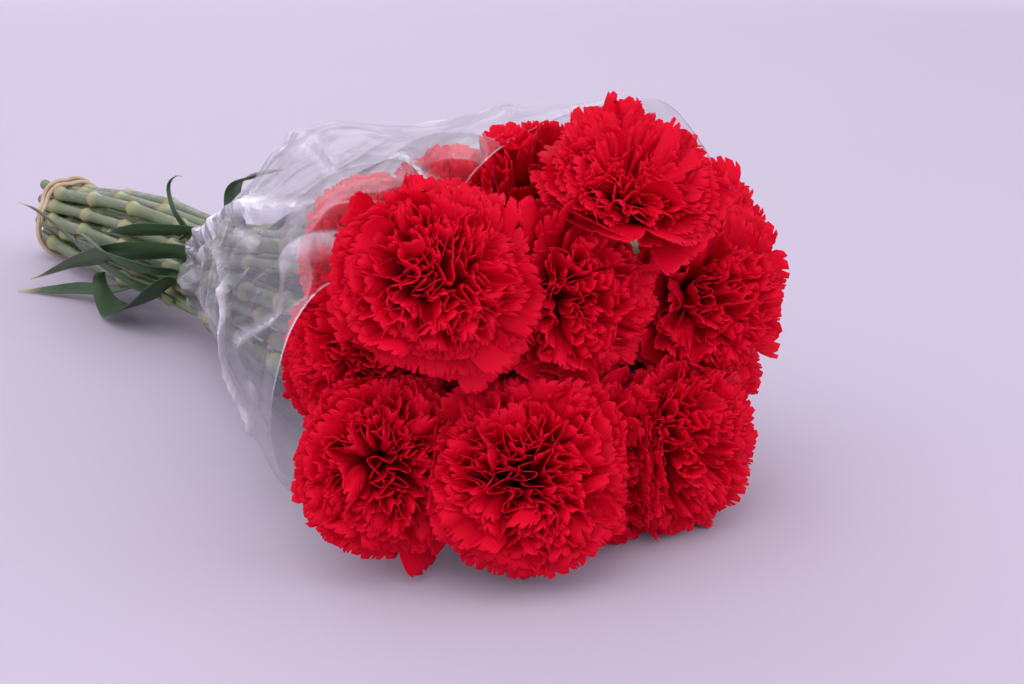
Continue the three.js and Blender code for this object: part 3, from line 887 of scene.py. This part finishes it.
def press_head(places, along, draws, head, heads, settings, film):
    """Presses a head's petals among its neighbours, to the table and inside the film."""
    wide = settings.radius / MM
    for other in heads:
        apart = other.middle - head.middle
        distance = np.linalg.norm(apart)
        if other is not head and distance < 2 * wide + 4:
            way = apart / distance
            depth = (places - head.middle) @ way
            ahead = np.clip((other.middle[1] - head.middle[1]) / distance, -0.5, 0.5)
            share = head.size ** 2 / (head.size ** 2 + other.size ** 2)
            limit = distance * share + draws.petal(*PRESS_REACH) + REACH_IN_FRONT * ahead
            if head.number in COVERED and other is heads[0]:
                limit = limit - BEHIND_THE_FRONT
            push = pressed(depth, limit, PRESS_SOFTNESS) - depth
            places = places + push[..., None] * (way - RISE_WHEN_PRESSED * head.axis)
    if head.number in COVERED:
        out = places - head.middle
        reach = np.linalg.norm(out, axis=-1, keepdims=True)
        room = head.size * COVERED_REACH - draws.petal(0, COVERED_UNEVEN)[..., None]
        kept = head.middle + out * pressed(reach, room, COVERED_SOFTNESS) / reach
        places = eased(places, kept, along)
    places[..., 2] = -pressed(-places[..., 2], -TABLE_GAP, TABLE_SOFTNESS)
    kept = film.keep_inside(places.reshape(-1, 3), FILM_ROOM).reshape(places.shape)
    places = eased(places, kept, along)
    return film.keep_inside(places.reshape(-1, 3), FILM_ROOM - FILM_SLACK)


def open_bloom(head, heads, settings, film, blank, material):
    column, row, faces = blank
    style = STYLES[head.style]
    count, corners = settings.petals + style["more"], len(column)
    draws = Draws(head.number, count, corners)
    petals = petal_shapes(draws, settings, blank, style)
    x_way = unit(np.cross(head.axis, [0.3, 0.2, 1.0]))
    turned = petals @ np.stack([x_way, np.cross(head.axis, x_way), head.axis])
    placed = head.middle + (turned - head.axis * HEAD_BACK) * head.size
    places = press_head(placed, PETAL_ROWS[row], draws, head, heads, settings, film)
    faces = (faces[None] + np.arange(count)[:, None, None] * corners).reshape(-1, 4)
    mesh = bpy.data.meshes.new(f"carnation_bloom_{head.number:02d}")
    mesh.from_pydata(places * MM, [], faces)
    piece = new_piece(mesh)
    across = np.tile(column / PETAL_COLUMNS, count)
    along = np.tile(PETAL_ROWS[row], count)
    uv = mesh.uv_layers.new(name="UVMap")
    loops = np.empty(len(mesh.loops), dtype=int)
    mesh.loops.foreach_get("vertex_index", loops)
    uv.data.foreach_set("uv", np.stack([across[loops], along[loops]], axis=1).ravel())
    note(piece, "tone", np.repeat(draws.petal(0, 1), corners))
    thicken(piece, settings.thickness)
    finish_piece(piece, f"bloom_{head.number:02d}", material, smooth_angle=180)


def all_heads():
    return [Head(number) for number in range(1, FLOWER_COUNT + 1)]


# ---- leaves ----

LEAF_COLUMNS = 10
LEAF_STEP = 3
# how wide a leaf's foot is, as a share of its first section
LEAF_FOOT = 0.55
# how a leaf's foot runs on past the frame's blade, under the leaf's own way: along y and z
FOOT_OF_BENT_BACK = (-16, 0)
FOOT_OF_UPRIGHT = (12, -7)
# how much wider each leaf is than the frame's bare strip, in the frame's order
LEAF_SPREAD = [1.25, 1.5, 1.45, 1.4, 1.4, 1.75, 1.0, 1.4, 1.3, 1.3, 1.2, 1.2, 1.2, 1.2]
# how far one edge of a leaf stands up, in half widths: the sign tells which edge
LEAF_LEAN = {5: 1.5, 6: -0.5}
# how far a leaf's tip hangs below the frame's
LEAF_DROOP = {8: 6, 13: 16}


def leaf_sections(number):
    """Along a leaf from its foot: the middles, the half widths and the ways across."""
    rings = rings_of(f"leaf_{number:02d}", wide_end_first=True)
    middles = np.array([ring.mean(axis=0) for ring in rings])
    sides = []
    for ring, middle in zip(rings, middles):
        spokes = ring - middle
        side = spokes[np.argmax(np.linalg.norm(spokes, axis=1))]
        sides.append(side if not sides or side @ sides[-1] > 0 else -side)
    halves = np.linalg.norm(sides, axis=1) * LEAF_SPREAD[number - 1]
    upright = middles[-1][1] < middles[0][1]
    foot = middles[0] + np.array([0.0, *(FOOT_OF_UPRIGHT if upright else FOOT_OF_BENT_BACK)])
    return (np.concatenate([[foot], middles]), np.concatenate([[halves[0] * LEAF_FOOT], halves]),
            unit(np.array([sides[0], *sides])))


def grow_leaf(number, settings, material):
    middles, halves, sides = leaf_sections(number)
    line = smooth_line(middles, 2)
    along = distances(line)
    at_ring = nearest_along(line, along, middles)
    rows = max(12, round(along[-1] / LEAF_STEP))
    piece, column, row = add_blank(f"carnation_leaf_{number:02d}", LEAF_COLUMNS, rows)
    across = column / LEAF_COLUMNS * 2 - 1
    share = row / rows
    where = share * along[-1]
    middle = spread(line, along, where)
    way = unit(spread(np.gradient(line, along, axis=0), along, where))
    side = spread(sides, at_ring, where)
    side = unit(side - way * np.sum(side * way, axis=1, keepdims=True))
    rise = np.cross(side, way)
    half = np.interp(where, at_ring, halves) * (1 + 0.06 * np.sin(where / 9 + number))
    half = half * np.sqrt((1 - share ** 6).clip(0.01))
    keel = settings.keel / MM * np.abs(across) ** 1.3 * (half / halves.max())
    wave = 0.6 * np.sin(where / 14 + number * 2) * across ** 2
    places = (middle + side * (across * half)[:, None] + rise * (keel + wave)[:, None])
    lean = LEAF_LEAN.get(number, 0)
    places[:, 2] += abs(lean) * half * (1 + math.copysign(1, lean) * across) / 2
    places[:, 2] -= LEAF_DROOP.get(number, 0) * share
    places[:, 2] = places[:, 2].clip(min=0.5)
    move_corners(piece, places)
    note(piece, "tip", smooth((share - 0.86) / 0.14))
    thicken(piece, settings.thickness)
    finish_piece(piece, f"leaf_{number:02d}", material)


# ---- the film sleeve ----

FILM_COLUMNS = 288
FILM_ROWS = 150
# where the frame's wall is measured: the stations round it and along it, from how far out
WALL_TURNS = 145
WALL_YS = 70
WALL_FAR = 300
# how far round it the wall's flat sides and the free edge are averaged
WALL_ROUNDING = np.linspace(-0.14, 0.14, 7)
RIM_ROUNDING = (-0.09, -0.045, 0, 0.045, 0.09)
# from this share of the sleeve's length, its wall leaves the frame's for the free edge
FLAP_START = 0.62
# how far the film lies above the table, and how softly it comes down to it
FILM_LIFT = 0.3
FILM_LIFT_SOFTNESS = 0.6
# how far petals stay inside the frame's sleeve, how much less their corners do, and how softly
FILM_ROOM = 3.5
FILM_SLACK = 1.5
FILM_ROOM_SOFTNESS = 4
# how far the film lies off a head that it covers, and how softly it leaves it or a head in front
HEAD_GAP = 2
HEAD_SOFTNESS = 11
FRONT_SOFTNESS = 5
CRUMPLE_SIZE = 1.3
# a fold that reaches further than this to its sides is rounded, not creased
CREASED = 8
# how much narrower a fold's shine is than the fold
SHINE_NARROWER = 2.2
# how milky the neck and the mouth are, as shares of the film's haze
NECK_HAZE = 3.0
MOUTH_HAZE = 0.12
# the small folds at the neck: how many, how far they sway and how deep they are
PLEATS = ((13, 0.5, 1.0), (19, 0.7, 0.7), (31, 0.4, 0.45))
# facets of many slants: how many round and along the sleeve, where they start and their size
FACET_FOLDS = ((5, 2.2, 0.1, 1.0), (-7, 4.1, 0.45, 0.8), (11, -5.3, 0.7, 0.55),
               (-16, -3.4, 0.2, 0.4), (3, 9.7, 0.9, 0.35), (23, 7.9, 0.6, 0.22))
# folds of the film: how far each stands out, how far it reaches to its sides, how much it shines
# and the places it passes through, as degrees round the sleeve and y
FOLDS = [
    (6, 8, 2.2, [(134, 42), (150, -50), (152, -139), (146, -179), (138, -205)]),
    (9, 26, 0, [(116, -92), (124, -124)]),
    (-9, 26, 0, [(100, -132), (112, -168)]),
    (-5, 12, 0.3, [(118, -160), (128, -172), (136, -180)]),
    (-4, 6, 1.2, [(158, -212), (164, -206), (169, -190), (179, -161), (184, -140)]),
    (4, 6, 1.2, [(173, -132), (180, -130), (194, -114), (197, -143), (200, -175)]),
    (-4, 6, 1.0, [(126, -112), (138, -160), (139, -190)]),
    (3, 5, 0.9, [(150, 40), (158, -20), (166, -80), (173, -132)]),
    (-3, 5, 0.9, [(142, 45), (150, 10), (152, -60), (160, -140)]),
    (3, 6, 1.0, [(118, -60), (126, -112), (133, -150)]),
    (3.5, 12, 0.6, [(182, -30), (184, -48)]),
    (4, 24, 0, [(92, -180), (100, -205)]),
    (-3, 5, 0.6, [(110, -20), (118, -60), (128, -100)]),
    (3, 5, 0.8, [(60, 30), (66, -40), (72, -110), (84, -180)]),
    (-3, 6, 0.5, [(20, 20), (32, -60), (40, -130), (38, -180)]),
    (3, 5, 0.6, [(330, 20), (340, -60), (350, -120), (345, -170)]),
    (-3, 5, 0.6, [(225, 30), (222, -40), (214, -100), (208, -160)]),
]

# the film's free edge round the flowers, anticlockwise from the right
RIM = [(118, -184, 80), (115, -186, 108), (93, -192, 136), (75, -208, 145), (61, -214, 156),
       (49, -216, 160.5), (25, -216, 159.5), (4, -212, 153), (-12, -213, 146),
       (-33, -220, 139), (-62, -229, 120), (-86, -226, 104), (-105, -219, 87), (-114, -218, 76),
       (-118, -212, 62), (-114, -203, 40), (-103, -195, 18), (-85, -190, 0.3), (0, -196, 0.3),
       (80, -190, 0.3), (108, -184, 22), (117, -184, 50)]


class Sleeve:
    """The film's outer wall, measured off the frame: how far it reaches at each angle and y."""

    def __init__(self):
        mesh = joined_mesh("film_sleeve")
        corners = np.array([corner.co for corner in mesh.verts]) / MM
        tree = BVHTree.FromBMesh(mesh)
        mesh.free()
        self.neck, self.mouth = corners[:, 1].max(), corners[:, 1].min()
        self.stations = np.unique(np.round(corners[:, 1], 2))
        rims = [corners[np.abs(corners[:, 1] - y) < 0.1] for y in self.stations]
        self.middles = np.array([(rim.min(axis=0) + rim.max(axis=0)) / 2 for rim in rims])
        self.turns = np.linspace(0, TURN, WALL_TURNS)
        self.ys = np.linspace(self.mouth + 0.05, self.neck - 0.05, WALL_YS)
        self.reach = np.array([[self.measure(tree, y, turn) for turn in self.turns]
                               for y in self.ys])
        self.rim = np.array(RIM, dtype=float)
        x, z = self.middle(self.mouth)
        self.rim_turns = np.arctan2(self.rim[:, 2] - z, self.rim[:, 0] - x) % TURN

    def middle(self, y):
        return (np.interp(y, self.stations, self.middles[:, 0]),
                np.interp(y, self.stations, self.middles[:, 2]))

    def measure(self, tree, y, turn):
        x, z = self.middle(y)
        out = Vector((math.cos(turn), 0, math.sin(turn)))
        start = (Vector((x, y, z)) + out * WALL_FAR) * MM
        hit = tree.ray_cast(start, -out)[0]
        return WALL_FAR - (start - hit).length / MM

    def read(self, y, turn):
        """How far the wall reaches at arrays of y and turn."""
        turn = np.mod(turn, TURN)
        i = np.interp(y, self.ys, np.arange(len(self.ys)))
        j = turn / TURN * (len(self.turns) - 1)
        i0 = np.minimum(i.astype(int), len(self.ys) - 2)
        j0 = np.minimum(j.astype(int), len(self.turns) - 2)
        fi, fj = i - i0, j - j0
        near = mix(self.reach[i0, j0], self.reach[i0, j0 + 1], fj)
        far = mix(self.reach[i0 + 1, j0], self.reach[i0 + 1, j0 + 1], fj)
        return mix(near, far, fi)

    def smooth_read(self, y, turn):
        """The same, with the frame's flat sides rounded off."""
        return np.mean([self.read(y, turn + shift) for shift in WALL_ROUNDING], axis=0)

    def places(self, y, turn, reach):
        x, z = self.middle(y)
        return np.stack([x + reach * np.cos(turn), y, z + reach * np.sin(turn)], axis=1)

    def rim_place(self, turn):
        """The free edge at each angle, eased round the given places."""
        order = np.argsort(self.rim_turns)
        turns, rim = self.rim_turns[order], self.rim[order]
        turns = np.concatenate([turns - TURN, turns, turns + TURN])
        rim = np.concatenate([rim, rim, rim])
        return np.mean([spread(rim, turns, np.mod(turn, TURN) + shift)
                        for shift in RIM_ROUNDING], axis=0)

    def keep_inside(self, places, gap):
        """Moves places that lie beyond the wall to just inside it."""
        x, z = self.middle(places[:, 1])
        out = np.stack([places[:, 0] - x, places[:, 2] - z], axis=1)
        reach = np.linalg.norm(out, axis=1)
        limit = self.read(places[:, 1], np.arctan2(out[:, 1], out[:, 0])) - gap
        covered = (places[:, 1] > self.mouth) & (places[:, 1] < self.neck)
        kept = np.where(covered, pressed(reach, limit, FILM_ROOM_SOFTNESS), reach)
        scale = kept / reach.clip(min=1e-6)
        places = places.copy()
        places[:, 0] = x + out[:, 0] * scale
        places[:, 2] = z + out[:, 1] * scale
        return places


def tent(values):
    """A folded line: 0 and 1 in turn, straight between them."""
    return np.abs(2 * (values - np.floor(values)) - 1)


def crumple(turn, share):
    """Flat facets with sharp edges between them, from -1 to 1 or so: folds of many slants."""
    total = 0
    for around, along, start, size in FACET_FOLDS:
        sway = 0.22 * np.sin(2 * turn + 5 * share + 9 * start)
        total = total + size * (tent(around * turn / TURN + along * share + start + sway) - 0.5)
    return total


def clear_heads(places, heads):
    """Lays the film over the flower heads that it covers, and behind the ones in front."""
    front = heads[0]
    for number in COVERED:
        head = heads[number - 1]
        out = places - head.middle
        reach = np.linalg.norm(out, axis=1)
        limit = head.size * COVERED_REACH + HEAD_GAP
        near = (HEAD_SOFTNESS - np.abs(reach - limit)).clip(min=0)
        soft = np.maximum(reach, limit) + near ** 2 / (4 * HEAD_SOFTNESS)
        touching = (reach < limit + HEAD_SOFTNESS)[:, None]
        moved = head.middle + out * (soft / reach)[:, None]
        apart = front.middle - head.middle
        distance = np.linalg.norm(apart)
        depth = (moved - head.middle) @ (apart / distance)
        push = pressed(depth, distance / 2, FRONT_SOFTNESS) - depth
        moved = moved + push[:, None] * apart / distance
        places = np.where(touching, moved, places)
    return places


def off_line(turn, y, reach, points):
    """How far each corner of the film is from a line on it, in millimetres."""
    nearest = np.full(len(turn), np.inf)
    for (first, first_y), (last, last_y) in zip(points, points[1:]):
        first, last = math.radians(first), math.radians(last)
        to_x = ((turn - first + math.pi) % TURN - math.pi) * reach
        to_y = y - first_y
        way_x, way_y = (last - first) * reach, last_y - first_y
        share = ((to_x * way_x + to_y * way_y) / (way_x ** 2 + way_y ** 2)).clip(0, 1)
        nearest = np.minimum(nearest, np.hypot(to_x - way_x * share, to_y - way_y * share))
    return nearest


def film_shape(sleeve, heads, settings, turn, share):
    """Where the film's corners lie, and how much light its folds catch there."""
    y = mix(sleeve.neck, sleeve.mouth, share)
    reach = sleeve.smooth_read(y, turn)
    sheet = sleeve.places(y, turn, reach)
    edge = np.full(len(turn), sleeve.mouth)
    at_edge = sleeve.places(edge, turn, sleeve.smooth_read(edge, turn))
    flap = smooth((share - FLAP_START) / (1 - FLAP_START))[:, None] ** 1.3
    sheet = sheet + (sleeve.rim_place(turn) - at_edge) * flap
    lift = CRUMPLE_SIZE * mix(1.0, 0.6, share) * (crumple(turn, share) - 0.3)
    pleats = sum(size * tent(count * turn / TURN + sway * np.sin(3 * turn + 4 * share))
                 for count, sway, size in PLEATS)
    lift = lift - settings.gathers / MM * (1 - share) ** 2.5 * pleats
    shine = np.zeros(len(turn))
    for height, width, light, points in FOLDS:
        away = off_line(turn, y, reach, points) / width
        fold = np.exp(-away ** 2) if width > CREASED else (1 - away).clip(min=0)
        lift = lift + height * fold
        shine = np.maximum(shine, light * np.exp(-(away * SHINE_NARROWER) ** 2))
    out = np.stack([np.cos(turn), np.zeros(len(turn)), np.sin(turn)], axis=1)
    sheet = clear_heads(sheet + out * lift[:, None], heads)
    sheet[:, 2] = -pressed(-sheet[:, 2], -FILM_LIFT, FILM_LIFT_SOFTNESS)
    return sheet, shine


def wrap_film(sleeve, heads, settings, material):
    piece, column, row = add_blank("film_wrap", FILM_COLUMNS, FILM_ROWS)
    turn, share = column / FILM_COLUMNS * TURN, row / FILM_ROWS
    sheet, shine = film_shape(sleeve, heads, settings, turn, share)
    move_corners(piece, sheet)
    milky = mix(NECK_HAZE, MOUTH_HAZE, smooth((share - 0.2) / 0.6))
    note(piece, "haze", settings.haze * milky)
    note(piece, "shine", shine)
    with editing(piece):
        bpy.ops.mesh.remove_doubles(threshold=SEAM * MM)
        bpy.ops.mesh.normals_make_consistent(inside=False)
    thicken(piece, settings.thickness)
    finish_piece(piece, "film_sleeve", material, smooth_angle=30)


# ---- the rubber band ----

# how far the band is swollen again, because rounding it off thins it
BAND_SWELL = 0.8


def wind_band(material):
    """The frame's band, its corners rounded off."""
    mesh = bpy.data.meshes.new("rubber_band_wound")
    joined = joined_mesh("rubber_band")
    joined.to_mesh(mesh)
    joined.free()
    piece = new_piece(mesh)
    with editing(piece):
        bpy.ops.mesh.tris_convert_to_quads(face_threshold=math.pi, shape_threshold=math.pi)
    rounded = piece.modifiers.new("Rounded", "SUBSURF")
    rounded.levels = rounded.render_levels = 2
    bpy.ops.object.modifier_apply(modifier=rounded.name)
    with editing(piece):
        bpy.ops.mesh.normals_make_consistent(inside=False)
        bpy.ops.transform.shrink_fatten(value=BAND_SWELL * MM)
    finish_piece(piece, "rubber_band", material, smooth_angle=180)


# ---- the stage ----

CAMERA_PLACE = (-0.404, -0.805, 0.286)
CAMERA_PITCH = math.radians(17)
CAMERA_HEADING = math.radians(33.4)
SENSOR_WIDTH = 36
STAGE_COLUMNS = 64
STAGE_ROWS = 24
# the floor is flat out to here, over this share of its rows, and sweeps up to a wall of this
# radius and height, all in metres
STAGE_FLAT = 1.4
STAGE_FLAT_SHARE = 0.4
STAGE_WALL = 3.6
STAGE_HEIGHT = 2.6
BUNCH_MIDDLE = (0, -0.05, 0.05)
ROOM_LIGHT = (0.88, 0.825, 0.94, 1)
ROOM_STRENGTH = 0.69
LAMP_SIZE = 1.8
# each lamp's name, place, power and tint
LAMPS = (("key", (-0.8, -0.5, 1.4), 13, (1.0, 0.98, 0.98)),
         ("fill", (0.9, -1.3, 0.9), 6, (0.95, 0.94, 1.0)),
         ("back", (0.5, 1.4, 1.2), 8, (0.98, 0.96, 1.0)))


def set_floor(settings):
    """A round floor that sweeps up to a wall all round, far behind every view."""
    piece, column, row = add_blank("stage_floor", STAGE_COLUMNS, STAGE_ROWS)
    turn, share = column / STAGE_COLUMNS * TURN, row / STAGE_ROWS
    climb = np.clip((share - STAGE_FLAT_SHARE) / (1 - STAGE_FLAT_SHARE), 0, 1) * math.pi / 2
    radius = np.where(share < STAGE_FLAT_SHARE, share / STAGE_FLAT_SHARE * STAGE_FLAT,
                      STAGE_FLAT + (STAGE_WALL - STAGE_FLAT) * np.sin(climb))
    height = STAGE_HEIGHT * (1 - np.cos(climb))
    places = np.stack([radius * np.cos(turn), radius * np.sin(turn), height], axis=1)
    move_corners(piece, places / MM)
    with editing(piece):
        bpy.ops.mesh.remove_doubles(threshold=0.01 * MM)
    bpy.ops.object.shade_smooth()
    piece.data.materials.append(stage_material(settings))


def add_light(name, place, power, tint):
    """A soft square light that looks at the middle of the bunch."""
    bpy.ops.object.light_add(type="AREA", location=place)
    lamp = bpy.context.active_object
    lamp.name = name
    lamp.data.size = LAMP_SIZE
    lamp.data.energy = power
    lamp.data.color = tint
    way = Vector(BUNCH_MIDDLE) - Vector(place)
    lamp.rotation_euler = way.to_track_quat("-Z", "Y").to_euler()
    lamp.visible_camera = False


def set_camera(settings):
    bpy.ops.object.camera_add(location=CAMERA_PLACE,
                              rotation=(math.pi / 2 - CAMERA_PITCH, 0, -CAMERA_HEADING))
    camera = bpy.context.active_object
    camera.data.sensor_width = SENSOR_WIDTH
    camera.data.lens = settings.lens
    camera.data.clip_start = 0.01
    bpy.context.scene.camera = camera


def set_lights():
    world = bpy.data.worlds.new("Room")
    world.use_nodes = True
    backdrop = world.node_tree.nodes["Background"]
    backdrop.inputs["Color"].default_value = ROOM_LIGHT
    backdrop.inputs["Strength"].default_value = ROOM_STRENGTH
    bpy.context.scene.world = world
    for name, place, power, tint in LAMPS:
        add_light(name, place, power, tint)


# ---- operators, one for each group of like pieces ----

class BUNCH_OT_stage(bpy.types.Operator):
    """Sets the camera, the floor and the lights"""
    bl_idname = "bunch.stage"
    bl_label = "Set the stage"

    def execute(self, context):
        settings = context.scene.bunch_stage
        set_camera(settings)
        set_floor(settings)
        set_lights()
        context.scene.view_settings.view_transform = "Standard"
        return {"FINISHED"}


class BUNCH_OT_stems(bpy.types.Operator):
    """Grows the stems, each with its joints and its calyx"""
    bl_idname = "bunch.stems"
    bl_label = "Grow the stems"

    def execute(self, context):
        settings = context.scene.bunch_stems
        material = stem_material(settings)
        for number in range(1, FLOWER_COUNT + 1):
            grow_stem(number, settings, material)
        return {"FINISHED"}


class BUNCH_OT_blooms(bpy.types.Operator):
    """Opens the flower heads, petal by petal, and presses them together"""
    bl_idname = "bunch.blooms"
    bl_label = "Open the blooms"

    def execute(self, context):
        settings = context.scene.bunch_blooms
        heads, film, blank = all_heads(), Sleeve(), petal_blank()
        material = petal_material(settings)
        for head in heads:
            open_bloom(head, heads, settings, film, blank, material)
        return {"FINISHED"}


class BUNCH_OT_leaves(bpy.types.Operator):
    """Grows the leaves along the frame's blades"""
    bl_idname = "bunch.leaves"
    bl_label = "Grow the leaves"

    def execute(self, context):
        settings = context.scene.bunch_leaves
        material = leaf_material(settings)
        for number in range(1, LEAF_COUNT + 1):
            grow_leaf(number, settings, material)
        return {"FINISHED"}


class BUNCH_OT_band(bpy.types.Operator):
    """Winds the rubber band round the stems"""
    bl_idname = "bunch.band"
    bl_label = "Wind the band"

    def execute(self, context):
        wind_band(band_material(context.scene.bunch_band))
        return {"FINISHED"}


class BUNCH_OT_film(bpy.types.Operator):
    """Wraps the bunch in its film sleeve"""
    bl_idname = "bunch.film"
    bl_label = "Wrap the film"

    def execute(self, context):
        settings = context.scene.bunch_film
        wrap_film(Sleeve(), all_heads(), settings, film_material(settings))
        return {"FINISHED"}


class BUNCH_PT_panel(bpy.types.Panel):
    bl_idname = "BUNCH_PT_panel"
    bl_label = "Carnation bunch"
    bl_space_type = "VIEW_3D"
    bl_region_type = "UI"
    bl_category = "Carnations"

    def draw(self, context):
        for settings, operator, group in STEPS:
            box = self.layout.box()
            box.operator(operator.bl_idname)
            for name in group.__annotations__:
                box.prop(getattr(context.scene, settings), name)


# what the panel lists: the name of the settings, their operator and their group
STEPS = (
    ("bunch_stage", BUNCH_OT_stage, StageSettings),
    ("bunch_stems", BUNCH_OT_stems, StemSettings),
    ("bunch_blooms", BUNCH_OT_blooms, BloomSettings),
    ("bunch_leaves", BUNCH_OT_leaves, LeafSettings),
    ("bunch_band", BUNCH_OT_band, BandSettings),
    ("bunch_film", BUNCH_OT_film, FilmSettings),
)
CLASSES = [each for _, *pair in STEPS for each in pair] + [BUNCH_PT_panel]


def register():
    for each in CLASSES:
        bpy.utils.register_class(each)
    for name, _, group in STEPS:
        setattr(bpy.types.Scene, name, PointerProperty(type=group))


def unregister():
    for name, _, _ in STEPS:
        delattr(bpy.types.Scene, name)
    for each in reversed(CLASSES):
        bpy.utils.unregister_class(each)


def main():
    register()
    bunch = bpy.ops.bunch
    for step in (bunch.stage, bunch.stems, bunch.blooms, bunch.leaves, bunch.band, bunch.film):
        step()
    deselect()


if __name__ == "__main__":
    main()
